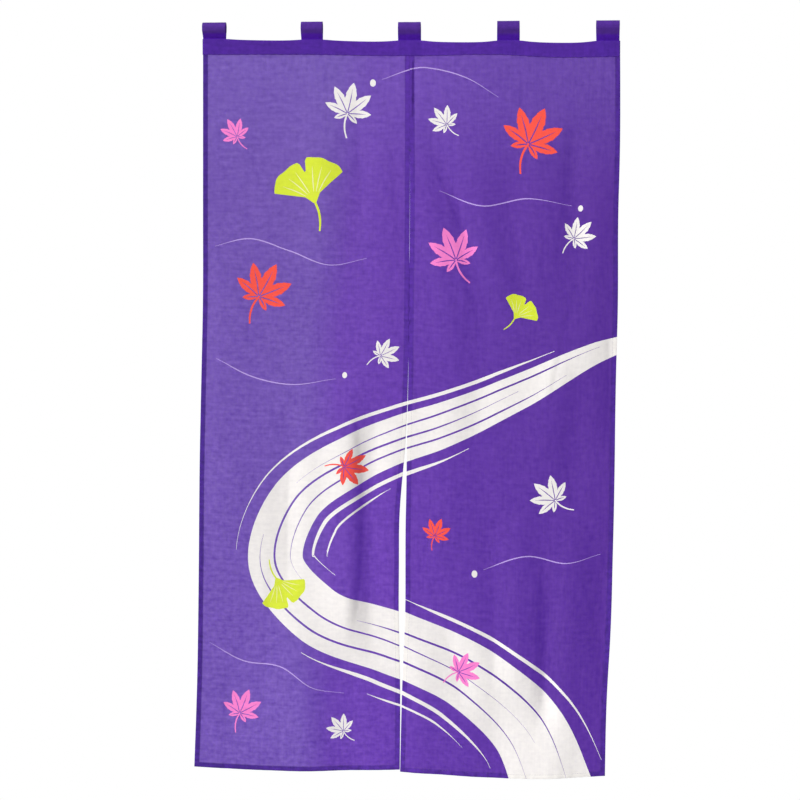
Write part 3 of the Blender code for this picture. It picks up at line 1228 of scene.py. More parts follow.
@dataclass(frozen=True)
class ClothRelief:
    """What thin cloth adds to the frame's folds: creases, slack between threads, and puckered sewing."""

    creases: Tuple[Crease, ...]
    seed: int
    grooves: Tuple[Crease, ...] = ()
    slack: float = 0.70 * MM
    slack_pitch: float = 0.085
    slack_fall: Pair = (0.6, 0.8)
    crumple: float = 0.16 * MM
    crumple_pitch: float = 0.024
    crumple_grows: float = 0.014
    header_foot: float = 0.034
    free_by: float = 0.10
    pucker: float = 0.30 * MM
    pucker_pitch: float = 0.021
    pucker_start: Pair = (0.006, 0.012)
    under_header: Pucker = Pucker(1.0, 1.0, 1.6, 0.035)
    beside_hem: Pucker = Pucker(0.8, 0.8, 1.8, 0.012)
    above_foot: Pucker = Pucker(0.9, 0.9, 1.7, 0.014)

    def ripple(self, size: Pair, pitch: float, layer: int) -> Lattice:
        """Seeded random heights about 0, a pitch apart over a sheet; each layer has its own."""
        shape = tuple(max(int(side / pitch), 3) + 1 for side in size)
        return Lattice(np.random.default_rng((self.seed, layer)).normal(0.0, 1.0, shape))

    def free(self, down: Array) -> Array:
        """0 where the header holds the cloth and 1 where it hangs free."""
        return soft_step(down, self.header_foot, self.header_foot + self.free_by)

    def rise(self, x: Array, z: Array, place: Array, size: Pair) -> Array:
        """How far the cloth comes to the front of the frame's folds.

        Args:
            x: Where the cloth hangs.
            z: Its height.
            place: Rows (across, down) from the sheet's own corner.
            size: The sheet's width and drop.

        Returns:
            The distances.
        """
        across, down = place
        s, t = across / size[0], down / size[1]
        creased, grooved = (
            sum((self.crease_rise(row, x, z) for row in rows), np.zeros(x.shape))
            for rows in (self.creases, self.grooves)
        )
        first, more = self.slack_fall
        total = creased + self.slack * self.ripple(size, self.slack_pitch, 1).at(s, t) * (first + more * t)
        below = soft_step(down, self.header_foot, self.header_foot + self.crumple_grows)
        crumpled = self.crumple * self.ripple(size, self.crumple_pitch, 2).at(s, t)
        return total * self.free(down) + (grooved + crumpled) * below + self.puckers(across, down, size)

    def puckers(self, across: Array, down: Array, size: Pair) -> Array:
        """Small waves where the sewing draws the cloth in: under the header and along the hems.

        Args:
            across: Metres from the panel's left edge.
            down: Metres from its top edge.
            size: The sheet's width and drop.

        Returns:
            How far each place stands out.
        """
        wander = self.ripple(size, self.pucker_pitch * 2, 3).at(across / size[0], down / size[1])
        turns = 2 * math.pi / self.pucker_pitch
        before, after = self.pucker_start
        shown = soft_step(down, self.header_foot - before, self.header_foot + after)
        edges = (
            (self.under_header, across, np.clip(down - self.header_foot, 0, None), shown),
            (self.beside_hem, down, np.minimum(across, size[0] - across), self.free(down)),
            (self.above_foot, across, size[1] - down, 1.0),
        )
        return self.pucker * sum(
            row.height * (np.exp(-away / row.reach) * share)
            * np.sin(turns * row.fineness * run + row.drift * wander)
            for row, run, away, share in edges
        )

    @staticmethod
    def crease_rise(crease: Crease, x: Array, z: Array) -> Array:
        """How far one crease brings the cloth to the front.

        Args:
            crease: The crease.
            x: Where the cloth hangs.
            z: Its height.

        Returns:
            The distances.
        """
        along = (crease.z_top - z) / (crease.z_top - crease.z_foot)
        run = crease.x_foot - crease.x_top
        centre = crease.x_top + along * run + crease.bow * 4 * along * (1 - along)
        fade = soft_step(along, 0.0, CREASE_GROWS_BY) * (1 - soft_step(along, CREASE_FADES_FROM, 1.0))
        u = (x - centre) / crease.half
        if crease.rise > 0:
            return crease.rise * fade * np.exp(-(u**2))
        falling = np.clip(1 + u, 0, 1) ** 2
        returning = 1 - soft_step(u, 0.0, SLOW_RETURN)
        return crease.rise * fade * np.where(u < 0, falling, returning)


LEFT_RELIEF = ClothRelief(
    seed=11,
    creases=(
        Crease(-0.116, -0.09, -0.096, -0.44, 0.0, 0.016, -0.0016),
        Crease(-0.125, -0.11, -0.121, -0.42, 0.0, 0.022, 0.003),
        Crease(-0.122, -0.72, -0.128, -1.3, 0.027, 0.018, -0.0032),
        Crease(-0.136, -0.72, -0.142, -1.33, 0.022, 0.018, 0.0018),
        Crease(-0.106, -0.6, -0.108, -1.45, 0.0, 0.038, 0.006),
        Crease(-0.242, -0.78, -0.254, -1.19, -0.006, 0.012, -0.0012),
        Crease(-0.285, -1.06, -0.31, -1.48, -0.003, 0.014, -0.0014),
        Crease(-0.385, -1.3, -0.385, -1.6, 0.0, 0.012, -0.0012),
        Crease(-0.392, -0.33, -0.402, -0.98, 0.004, 0.012, 0.0008),
        Crease(-0.045, -0.18, -0.022, -0.52, 0.004, 0.012, -0.001),
        Crease(-0.046, -0.82, -0.048, -1.33, 0.0, 0.034, -0.003),
        Crease(-0.33, -0.08, -0.345, -0.3, 0.002, 0.012, 0.0007),
        Crease(-0.206, -1.34, -0.165, -1.52, 0.004, 0.02, -0.002),
        Crease(-0.168, -0.06, -0.172, -0.25, 0.001, 0.009, -0.0007),
    ),
)
RIGHT_RELIEF = ClothRelief(
    seed=23,
    grooves=(Crease(0.0060, -0.005, 0.0060, -0.205, 0.000, 0.0040, -0.0024),),
    creases=(
        Crease(0.068, -0.26, 0.172, -0.62, 0.0, 0.013, -0.0022),
        Crease(0.034, -0.24, 0.124, -0.46, 0.001, 0.009, -0.0024),
        Crease(0.053, -0.23, 0.135, -0.665, 0.0, 0.014, 0.002),
        Crease(0.16, -0.21, 0.222, -0.6, 0.0, 0.028, 0.0034),
        Crease(0.182, -0.27, 0.238, -0.58, 0.002, 0.014, -0.001),
        Crease(0.312, -0.12, 0.309, -0.56, 0.0, 0.026, 0.005),
        Crease(0.225, -0.05, 0.228, -0.19, 0.001, 0.007, -0.0009),
        Crease(0.314, -0.18, 0.3, -0.42, 0.014, 0.01, -0.0006),
        Crease(0.295, -0.4, 0.308, -0.56, 0.0, 0.009, -0.0009),
        Crease(0.276, -0.39, 0.264, -0.56, 0.0, 0.009, -0.0008),
        Crease(0.336, -0.52, 0.27, -0.84, 0.0, 0.014, -0.0019),
        Crease(0.396, -0.56, 0.396, -0.88, 0.011, 0.012, -0.0014),
        Crease(0.103, -0.46, 0.1, -0.7, 0.016, 0.011, -0.0011),
        Crease(0.012, -0.64, 0.012, -0.82, 0.0, 0.008, -0.0009),
        Crease(0.172, -1.09, 0.168, -1.4, 0.004, 0.016, -0.0014),
        Crease(0.2, -1.09, 0.2, -1.34, 0.0, 0.008, -0.0008),
        Crease(0.147, -1.04, 0.147, -1.4, 0.0, 0.018, 0.0014),
        Crease(0.262, -1.06, 0.258, -1.44, 0.0, 0.018, 0.0042),
        Crease(0.276, -1.16, 0.274, -1.48, 0.0, 0.012, -0.001),
        Crease(0.367, -1.08, 0.367, -1.42, 0.0, 0.016, 0.002),
        Crease(0.29, -1.12, 0.256, -1.48, 0.006, 0.03, -0.0022),
        Crease(0.318, -1.06, 0.306, -1.5, 0.0, 0.03, 0.002),
        Crease(0.318, -0.87, 0.336, -1.0, 0.0, 0.01, -0.0009),
        Crease(0.396, -1.02, 0.39, -1.42, 0.0, 0.012, -0.0009),
        Crease(0.06, -1.2, 0.11, -1.42, 0.004, 0.014, -0.0012),
    ),
)


# -------- flat patterns


@dataclass(frozen=True)
class Turning:
    """A hem: the cloth's edge is folded to the back over a small radius."""

    width: float
    radius: float
    FOLD_STEPS = 4

    def fold(self, beyond: Array, behind: Array, radius: Array) -> Tuple[Array, Array]:
        """Fold the cloth.

        Args:
            beyond: How far past the start of the fold a place lies on the flat cloth.
            behind: How far it lies behind the cloth's middle before the fold.
            radius: Radius of the fold at that place.

        Returns:
            How far past the start of the fold it comes to lie, and how far behind.
        """
        angle = np.clip(beyond / radius, 0.0, math.pi)
        spoke = radius - behind
        straight = np.minimum(beyond, 0.0) - np.maximum(beyond - math.pi * radius, 0.0)
        return straight + spoke * np.sin(angle), radius - spoke * np.cos(angle)

    def flat_reach(self) -> float:
        """How far the flat cloth goes past the start of the fold."""
        return math.pi * self.radius + self.width - self.radius

    def fold_lines(self) -> Array:
        """Places of the lines that round the fold, past its start."""
        return math.pi * self.radius * np.arange(1, self.FOLD_STEPS + 1) / self.FOLD_STEPS

    def silhouette(self) -> float:
        """How far past the start of the fold the cloth turns out of sight."""
        return math.pi * self.radius / 2


@dataclass
class Pattern:
    """A flat piece of cloth in triangles that keep to its fold lines and to the print."""

    STAGGER, KEEP_OFF = 0.22, 0.40
    BEADS = 9
    SAME_PLACE = 1e-6
    points: Array
    triangles: Array

    @classmethod
    def cut(
        cls,
        across_lines: Array,
        down_lines: Array,
        pitch: Pair,
        outlines: Sequence[Outline],
        limits: Tuple[float, float, float, float],
    ) -> "Pattern":
        """Cut the pattern.

        Args:
            across_lines: Rising places of the upright lines, with both side edges.
            down_lines: Rising places of the level lines, with the top and the lower edge.
            pitch: Greatest distance between points, across and down.
            outlines: Outlines of the print.
            limits: Left, right, top and lower limit of the print.

        Returns:
            The pattern.
        """
        across, down = cls.stations(across_lines, pitch[0]), cls.stations(down_lines, pitch[1])
        i, j = (grid.ravel() for grid in np.meshgrid(range(len(across)), range(len(down)), indexing="ij"))
        on_upright = np.isin(across[i], across_lines)
        on_level = np.isin(down[j], down_lines)
        shift = np.where(on_upright, 0.0, pitch[0] * cls.STAGGER * np.where(j % 2, 1.0, -1.0))
        grid = np.column_stack([across[i] + shift, down[j]])
        segments = cls.clipped(outlines, limits)
        keep = on_upright | on_level | ~cls.near(grid, segments, pitch[0] * cls.KEEP_OFF)
        order = np.cumsum(keep) - 1
        rank = np.where(keep, order, -1).reshape(len(across), len(down))
        lines = [rank[k, :] for k in range(len(across)) if across[k] in across_lines]
        lines += [rank[:, k] for k in range(len(down)) if down[k] in down_lines]
        edges = [pair for line in lines for pair in zip(line[:-1].tolist(), line[1:].tolist())]
        first = int(keep.sum())
        points = [*map(Vector, grid[keep]), *map(Vector, segments.reshape(-1, 2))]
        edges += [(first + 2 * k, first + 2 * k + 1) for k in range(len(segments))]
        made = delaunay_2d_cdt(points, edges, [], 0, cls.SAME_PLACE, False)
        triangles = np.array([face for face in made[2] if len(face) == 3])
        return cls(np.array([tuple(point) for point in made[0]]), triangles)

    @staticmethod
    def stations(lines: Array, pitch: float) -> Array:
        """The lines' places, and even places between them that are at most a pitch apart.

        Args:
            lines: Rising places.
            pitch: Greatest distance between places.

        Returns:
            All the places, rising.
        """
        stops = [np.array([lines[-1]])]
        for start, end in zip(lines[:-1], lines[1:]):
            count = max(1, math.ceil((end - start) / pitch))
            stops.append(start + (end - start) * np.arange(count) / count)
        return np.sort(np.concatenate(stops))

    @classmethod
    def clipped(cls, outlines: Sequence[Outline], limits: Tuple[float, float, float, float]) -> Array:
        """The parts of the outlines' sides that lie within the limits, as pairs of points.

        Args:
            outlines: Outlines of the print.
            limits: Left, right, top and lower limit.

        Returns:
            Rows of two points.
        """
        starts = np.vstack(outlines)
        ends = np.vstack([np.roll(outline, -1, axis=0) for outline in outlines])
        run = ends - starts
        low, high = np.zeros(len(run)), np.ones(len(run))
        for axis, near, far in ((0, *limits[:2]), (1, *limits[2:])):
            for sign, limit in ((1.0, far), (-1.0, -near)):
                speed = sign * run[:, axis]
                room = limit - sign * starts[:, axis]
                with np.errstate(divide="ignore", invalid="ignore"):
                    at = room / speed
                high = np.where(speed > 0, np.minimum(high, at), high)
                low = np.where(speed < 0, np.maximum(low, at), low)
                high = np.where((speed == 0) & (room < 0), -1.0, high)
        kept = high - low > cls.SAME_PLACE
        first = starts[kept] + run[kept] * low[kept, None]
        second = starts[kept] + run[kept] * high[kept, None]
        return np.stack([first, second], axis=1)

    @classmethod
    def near(cls, points: Array, segments: Array, reach: float) -> Array:
        """Whether each point lies within about a reach of one of the segments.

        Args:
            points: The points.
            segments: Rows of two points.
            reach: The reach.

        Returns:
            True for each point that is near.
        """
        if not len(segments):
            return np.zeros(len(points), bool)
        shares = np.linspace(0.0, 1.0, cls.BEADS)[None, :, None]
        beads = segments[:, :1] * (1 - shares) + segments[:, 1:] * shares
        cells = np.floor(beads.reshape(-1, 2) / reach).astype(int)
        around = np.array([(a, b) for a in (-1, 0, 1) for b in (-1, 0, 1)])
        taken = {tuple(cell) for cell in (cells[:, None] + around).reshape(-1, 2).tolist()}
        own = np.floor(points / reach).astype(int).tolist()
        return np.array([tuple(cell) in taken for cell in own])

    def centres(self) -> Array:
        """The middle of each triangle."""
        return self.points[self.triangles].mean(axis=1)

    def rim(self) -> Array:
        """The edges that only one triangle has, each as that triangle runs along it.

        Returns:
            Rows of two point numbers.
        """
        sides = np.vstack([self.triangles[:, [a, (a + 1) % 3]] for a in range(3)])
        key = np.sort(sides, axis=1)
        _, where, count = np.unique(key, axis=0, return_index=True, return_counts=True)
        return sides[where[count == 1]]


def inside(outline: Outline, places: Array) -> Array:
    """Whether each place lies inside an outline.

    Args:
        outline: The points round it.
        places: Rows (across, down).

    Returns:
        True for each place inside.
    """
    hit = np.zeros(len(places), bool)
    x, y = places[:, 0], places[:, 1]
    for (x0, y0), (x1, y1) in zip(outline, np.roll(outline, -1, axis=0)):
        if y0 != y1:
            hit ^= ((y0 > y) != (y1 > y)) & (x < (x1 - x0) * (y - y0) / (y1 - y0) + x0)
    return hit


def printed(patches: Sequence[Patch], places: Array) -> Tuple[Array, Array]:
    """The print's colour at places on the cloth.

    Args:
        patches: The print's areas, in the order in which they are printed.
        places: Rows (across, down).

    Returns:
        A colour for each place, and 1 where there is print or 0 on the bare ground.
    """
    colours = np.tile(np.array([*Dye.GROUND.value, 1.0]), (len(places), 1))
    cover = np.zeros(len(places))
    for patch in patches:
        low, high = patch.outline.min(axis=0), patch.outline.max(axis=0)
        close = np.flatnonzero(((places >= low) & (places <= high)).all(axis=1))
        hit = close[inside(patch.outline, places[close])]
        colours[hit] = (*patch.dye.value, 1.0)
        cover[hit] = 0.0 if patch.dye is Dye.GROUND else 1.0
    return colours, cover


# -------- meshes


def mesh_object(name: str, points: Array, faces: Sequence[Sequence[int]]) -> Object:
    """A smooth-shaded mesh object in the scene.

    Args:
        name: Its name.
        points: Its points.
        faces: Its faces, as rows of point numbers.

    Returns:
        The object.
    """
    mesh = bpy.data.meshes.new(name)
    sizes = np.array([len(face) for face in faces])
    corners = np.concatenate([np.asarray(face) for face in faces])
    mesh.vertices.add(len(points))
    mesh.vertices.foreach_set("co", np.asarray(points, np.float32).ravel())
    mesh.loops.add(len(corners))
    mesh.loops.foreach_set("vertex_index", corners)
    mesh.polygons.add(len(sizes))
    mesh.polygons.foreach_set("loop_start", np.concatenate([[0], np.cumsum(sizes)[:-1]]))
    mesh.update(calc_edges=True)
    mesh.validate()
    mesh.shade_smooth()
    made = bpy.data.objects.new(name, mesh)
    bpy.context.scene.collection.objects.link(made)
    return made


def lay_map(piece: Object, name: str, places: Array) -> None:
    """Give a piece a UV map.

    Args:
        piece: The piece.
        name: The map's name.
        places: The map's place for each point of the piece.
    """
    mesh = piece.data
    corners = np.empty(len(mesh.loops), int)
    mesh.loops.foreach_get("vertex_index", corners)
    layer = mesh.uv_layers.new(name=name)
    layer.data.foreach_set("uv", places[corners].astype(np.float32).ravel())


def lay_values(piece: Object, name: str, values: Array, domain: str) -> None:
    """Lay values or colours on a piece.

    Args:
        piece: The piece.
        name: The name under which its material reads them.
        values: A value, or a row of a colour, for each face or point.
        domain: FACE or POINT.
    """
    kind, channel = ("FLOAT_COLOR", "color") if values.ndim > 1 else ("FLOAT", "value")
    attribute = piece.data.attributes.new(name, kind, domain)
    attribute.data.foreach_set(channel, values.astype(np.float32).ravel())


def dress(
    piece: Object, material: bpy.types.Material, nodes: Sequence[str] = ()
) -> Object:
    """Give a piece its material and its body, and hide the frame's nodes that it replaces.

    Args:
        piece: The piece.
        material: Its material.
        nodes: The frame's nodes that it replaces.

    Returns:
        The piece.
    """
    piece.data.materials.append(material)
    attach(piece, BODY)
    if nodes:
        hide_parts(*nodes)
    LOG.info("%s: %d faces", piece.name, len(piece.data.polygons))
    return piece


def ring_quads(rings: int, sides: int) -> List[Tuple[int, ...]]:
    """Faces between rings of points, each ring with as many sides.

    Args:
        rings: How many rings.
        sides: How many points each has.

    Returns:
        Rows of point numbers.
    """
    return [
        (r * sides + k, r * sides + after, (r + 1) * sides + after, (r + 1) * sides + k)
        for r in range(rings - 1)
        for k, after in ((k, (k + 1) % sides) for k in range(sides))
    ]


def unit(vectors: Array) -> Array:
    """Vectors at length 1."""
    return vectors / np.maximum(np.linalg.norm(vectors, axis=-1, keepdims=True), SHORTEST)


# -------- sewing


@dataclass
class Sewing:
    """Machine stitches, gathered and made as one mesh of small spindles.

    A spindle's rings are (share of its length, share of its girth, share of its height) rows.
    """

    name: str
    stitch: float = 2.4 * MM
    between: float = 0.9 * MM
    half: float = 0.15 * MM
    height: float = 0.10 * MM
    uneven_start: float = 0.06
    uneven_length: float = 0.05
    SIDES = 4
    RINGS = ((0.0, 0.55, -1.6), (0.22, 1.0, 0.3), (0.5, 1.05, 1.0), (0.78, 1.0, 0.3), (1.0, 0.55, -1.6))
    starts: List[Array] = field(default_factory=list)
    ends: List[Array] = field(default_factory=list)
    outs: List[Array] = field(default_factory=list)

    def add(self, start: Array, end: Array, out: Array) -> None:
        """Add stitches.

        Args:
            start: Rows of points on the cloth where each goes in.
            end: Rows of points where each comes out.
            out: Rows of vectors that point away from the cloth.
        """
        self.starts.append(start)
        self.ends.append(end)
        self.outs.append(out)

    def along(self, line: Array, out: Array, seed: int) -> None:
        """Sew along a line.

        Args:
            line: Close points on the cloth.
            out: A vector away from the cloth at each of them.
            seed: Sets this line's small unevenness.
        """
        places = run_so_far(line)
        pace = self.stitch + self.between
        count = int((places[-1] - self.stitch) / pace)
        rng = np.random.default_rng(seed)
        first = (np.arange(count) + 0.5) * pace + rng.normal(0.0, self.uneven_start * pace, count)
        last = first + self.stitch * (1 + rng.normal(0.0, self.uneven_length, count))
        away = unit(read_at((first + last) / 2, places, out))
        self.add(read_at(first, places, line), read_at(last, places, line), away)

    def make(self) -> Object:
        """Build all the stitches as one mesh.

        Returns:
            The piece.
        """
        start, end, out = (np.vstack(table) for table in (self.starts, self.ends, self.outs))
        run = unit(end - start)
        side = unit(np.cross(run, out))
        rings = []
        for along, girth, lift in self.RINGS:
            middle = start + along * (end - start) + out * self.height * lift
            for k in range(self.SIDES):
                angle = 2 * math.pi * (k + 0.5) / self.SIDES
                spoke = math.cos(angle) * side + math.sin(angle) * out
                rings.append(middle + spoke * self.half * girth)
        per_stitch = len(self.RINGS) * self.SIDES
        points = np.stack(rings, axis=1).reshape(-1, 3)
        quads = ring_quads(len(self.RINGS), self.SIDES)
        first_end = range(self.SIDES)
        quads += [tuple(first_end)[::-1], tuple(per_stitch - self.SIDES + k for k in first_end)]
        first = np.arange(len(start)) * per_stitch
        faces = (first[:, None, None] + np.array(quads)[None]).reshape(-1, 4)
        return mesh_object(self.name, points, faces)


# -------- panels


@dataclass
class Panel:
    """One length of cloth with turned side hems and foot hem, printed and hung on its node's folds."""

    FACING_STEP = 0.8 * MM
    MAP_EDGE, MAP_SPAN = 0.005, 0.99
    side: str
    start: float
    relief: ClothRelief
    thickness: float = 0.40 * MM
    pitch: Pair = (3.5 * MM, 5.4 * MM)
    hem: Turning = Turning(10 * MM, 0.225 * MM)
    foot_hem: Turning = Turning(10 * MM, 0.30 * MM)
    corner_radius: float = 0.80 * MM
    corner_reach: Pair = (0.9, 2.6)
    stitch_inset: float = 8.2 * MM
    under_header: float = 4 * MM
    back_cover: float = 0.80
    fine_lines: Tuple[float, ...] = ()

    def __post_init__(self) -> None:
        """Name the piece after its side."""
        self.node = f"panel_{self.side}"
        self.hung: HungSheet
        self.forward = self.hem.radius

    def hang(self, node: Object) -> None:
        """Read from the panel's node where it hangs."""
        self.hung = HungSheet(node, 1 if self.side == "left" else -1)

    @property
    def size(self) -> Pair:
        """The hemmed panel's width and drop."""
        return self.hung.width, self.hung.drop

    def middle(self, across: Array, down: Array) -> Array:
        """Points of the hanging cloth's middle, with neither hems nor thickness.

        Args:
            across: Metres from the panel's left edge.
            down: Metres from its top edge.

        Returns:
            The points.
        """
        width, drop = self.size
        s, t = across / width, down / drop
        x, z = self.hung.outline_place(s, t)
        y = self.hung.depths.at(np.clip(s, 0, 1), np.clip(t, 0, 1))
        inner = np.clip(across, 0, width), np.clip(down, 0, drop)
        return np.column_stack([x, y - self.relief.rise(x, z, inner, self.size), z])

    def facing(self, across: Array, down: Array) -> Array:
        """Unit vectors to the front of the cloth.

        Args:
            across: Metres from the panel's left edge.
            down: Metres from its top edge.

        Returns:
            The vectors.
        """
        near = self.FACING_STEP
        over = self.middle(across + near, down) - self.middle(across - near, down)
        fall = self.middle(across, down + near) - self.middle(across, down - near)
        return unit(np.cross(fall, over))

    def place(self, pattern_points: Array, behind: Array) -> Array:
        """Where flat cloth comes to lie once its hems are folded and it hangs.

        Args:
            pattern_points: Rows (across, down) from the panel's own corner.
            behind: How far each lies behind the middle of its layer, on the flat cloth.

        Returns:
            The points.
        """
        across, down = pattern_points[:, 0], pattern_points[:, 1]
        width, drop = self.size
        left = across < width / 2
        start = np.where(left, self.hem.radius, width - self.hem.radius)
        way = np.where(left, -1.0, 1.0)
        past, back = self.hem.fold((across - start) * way, behind, self.hem.radius)
        across = start + past * way
        edge = np.minimum(across, width - across)
        swell = 1 - soft_step(edge, *(self.hem.width * share for share in self.corner_reach))
        radius = self.foot_hem.radius + (self.corner_radius - self.foot_hem.radius) * swell
        past, back = self.foot_hem.fold(down - (drop - radius), back, radius)
        down = drop - radius + past
        return self.middle(across, down) - self.facing(across, down) * (back - self.forward)[:, None]

    def cut_pattern(self, patches: Sequence[Patch]) -> Pattern:
        """The flat panel with its turn-ins, cut along its folds and round the print.

        Args:
            patches: The print.

        Returns:
            The pattern, from the panel's own corner.
        """
        width, drop = self.size
        fold, foot = self.hem, self.foot_hem
        outer = np.array([0.0, *fold.fold_lines(), fold.flat_reach()])
        fine = np.array(self.fine_lines)
        turned = (2 - math.pi) * fold.radius - fine
        sides = fold.radius - outer, width - fold.radius + outer
        across_lines = np.sort(np.concatenate([*sides, fine, turned]))
        low = np.array([0.0, *foot.fold_lines(), foot.flat_reach()])
        down_lines = np.concatenate([[0.0, self.hem_under_header()], drop - foot.radius + low])
        outlines = [patch.outline - (self.start, 0.0) for patch in patches]
        edge = fold.silhouette() - fold.radius
        limits = (-edge, width + edge, 0.0, drop - foot.radius + foot.silhouette())
        return Pattern.cut(across_lines, down_lines, self.pitch, outlines, limits)

    def hem_under_header(self) -> float:
        """A level line that the header hides, where the cloth starts to be seen."""
        return self.relief.header_foot - self.under_header

    def build(self, patches: Sequence[Patch]) -> Object:
        """Build the cloth.

        Args:
            patches: The print.

        Returns:
            The piece.
        """
        pattern = self.cut_pattern(patches)
        count = len(pattern.points)
        half = np.full(count, self.thickness / 2)
        points = np.vstack([self.place(pattern.points, -half), self.place(pattern.points, half)])
        rim = pattern.rim()
        front, back = pattern.triangles[:, ::-1], pattern.triangles + count
        edge_a = np.column_stack([rim[:, 0], rim[:, 1], rim[:, 1] + count])
        edge_b = np.column_stack([rim[:, 0], rim[:, 1] + count, rim[:, 0] + count])
        piece = mesh_object(f"{self.node}_cloth", points, np.vstack([front, back, edge_a, edge_b]))
        self.lay_maps(piece, pattern)
        self.lay_dyes(piece, pattern, patches, 2 * len(rim))
        return self.declare(piece, pattern)

    def lay_maps(self, piece: Object, pattern: Pattern) -> None:
        """Give the cloth its two maps: one for baking, and one in metres on the curtain.

        Args:
            piece: The cloth.
            pattern: Its pattern.
        """
        low, high = pattern.points.min(axis=0), pattern.points.max(axis=0)
        share = self.MAP_EDGE + self.MAP_SPAN * (pattern.points - low) / (high - low)
        front = share * (0.5, 1.0)
        lay_map(piece, BAKE_MAP, np.vstack([front, front + (0.5, 0.0)]))
        on_curtain = pattern.points + (self.start, 0.0)
        lay_map(piece, CLOTH_MAP, np.vstack([on_curtain, on_curtain]))

    def lay_dyes(
        self, piece: Object, pattern: Pattern, patches: Sequence[Patch], rim_faces: int
    ) -> None:
        """Print the cloth: its face in full, and paler where the dye shows through to the back.

        Args:
            piece: The cloth.
            pattern: Its pattern.
            patches: The print.
            rim_faces: How many faces close its edges.
        """
        width, drop = self.size
        centres = pattern.centres()
        colours, cover = printed(patches, centres + (self.start, 0.0))
        edge = self.hem.silhouette() - self.hem.radius
        shown = (centres[:, 0] > -edge) & (centres[:, 0] < width + edge)
        shown &= centres[:, 1] < drop + self.foot_hem.silhouette() - self.foot_hem.radius
        cover = np.where(shown, cover, 0.0)
        bare = np.tile(np.array([*Dye.GROUND.value, 1.0]), (rim_faces, 1))
        covers = np.concatenate([cover, cover * self.back_cover, np.zeros(rim_faces)])
        lay_values(piece, PRINT_COLOUR, np.vstack([colours, colours, bare]), "FACE")
        lay_values(piece, PRINT_COVER, covers, "FACE")

    def hem_lines(self) -> HemLines:
        """Where the hems are, on the curtain."""
        return HemLines(self.start, self.start + self.hung.width, self.hung.drop, self.hem.width)

    def declare(self, piece: Object, pattern: Pattern) -> Object:
        """Dress the cloth.

        Args:
            piece: The cloth.
            pattern: Its pattern; not used.

        Returns:
            The piece.
        """
        finish = PANEL_FINISH.make(self.hem_lines())
        dress(piece, finish, [self.node])
        return piece

    def on_face(self, across: Array, down: Array, lift: float) -> Tuple[Array, Array]:
        """Points on the front of the cloth and the vectors away from it.

        Args:
            across: Metres from the panel's left edge.
            down: Metres from its top edge.
            lift: How far off the cloth.

        Returns:
            The points and the vectors.
        """
        places = np.column_stack([across, down])
        behind = np.full(len(places), -self.thickness / 2 - lift)
        return self.place(places, behind), self.facing(across, down)

    def on_turning(self, across: Array, down: Array, lift: float) -> Tuple[Array, Array]:
        """Points on the back of the hems' turned edges and the vectors away from them.

        Args:
            across: Metres from the panel's left edge.
            down: Metres from its top edge.
            lift: How far off the cloth.

        Returns:
            The points and the vectors.
        """
        facing = self.facing(across, down)
        beside = np.minimum(across, self.hung.width - across) < self.hem.width
        depth = np.where(beside, 2 * self.hem.radius, 2 * self.foot_hem.radius)
        back = depth - self.forward + self.thickness / 2 + lift
        return self.middle(across, down) - facing * back[:, None], -facing

    def sew_hems(self, sewing: Sewing, seed: int) -> None:
        """Sew the two side hems and the foot hem, on the front and on the back.

        Args:
            sewing: Takes the stitches.
            seed: Sets their unevenness.
        """
        width, drop = self.size
        inset = self.stitch_inset
        down = np.arange(self.hem_under_header(), drop - SEWING_STEP, SEWING_STEP)
        level = np.arange(inset, width - inset, SEWING_STEP)
        lines = [
            (np.full(len(down), inset), down),
            (np.full(len(down), width - inset), down),
            (level, np.full(len(level), drop - inset)),
        ]
        for number, (across, fall) in enumerate(lines):
            for turn, surface in enumerate((self.on_face, self.on_turning)):
                line, out = surface(across, fall, 0.0)
                sewing.along(line, out, seed + 2 * number + turn)


@dataclass
class CentreSeam:
    """The seam that joins the two panels above the slit, and the bar of close stitches at its end."""

    left: Panel
    right: Panel
    start: float = 36 * MM
    end: float = 219 * MM
    pace: float = 3.4 * MM
    bite: float = 1.5 * MM
    slant: float = 0.4
    lift: float = 0.1 * MM
    bar_count: int = 10
    bar_pace: float = 0.45 * MM
    bar_bite: float = 3.0 * MM

    def sew(self, sewing: Sewing) -> None:
        """Add the seam's stitches and its closing bar.

        Args:
            sewing: Takes the stitches.
        """
        self.cross(sewing, np.arange(self.start, self.end, self.pace), self.bite, self.pace * self.slant)
        bar = self.end + np.arange(self.bar_count) * self.bar_pace
        self.cross(sewing, bar, self.bar_bite, 0.0)

    def cross(self, sewing: Sewing, down: Array, bite: float, slant: float) -> None:
        """Stitches from one panel's inner edge over to the other's.

        Args:
            sewing: Takes the stitches.
            down: Where each stitch lies.
            bite: How far it reaches into each panel.
            slant: How much lower it ends.
        """
        left_at = np.full(len(down), self.left.hung.width - bite)
        start, out = self.left.on_face(left_at, down, self.lift)
        end, other = self.right.on_face(np.full(len(down), bite), down + slant, self.lift)
        sewing.add(start, end, unit(out + other))


# -------- header


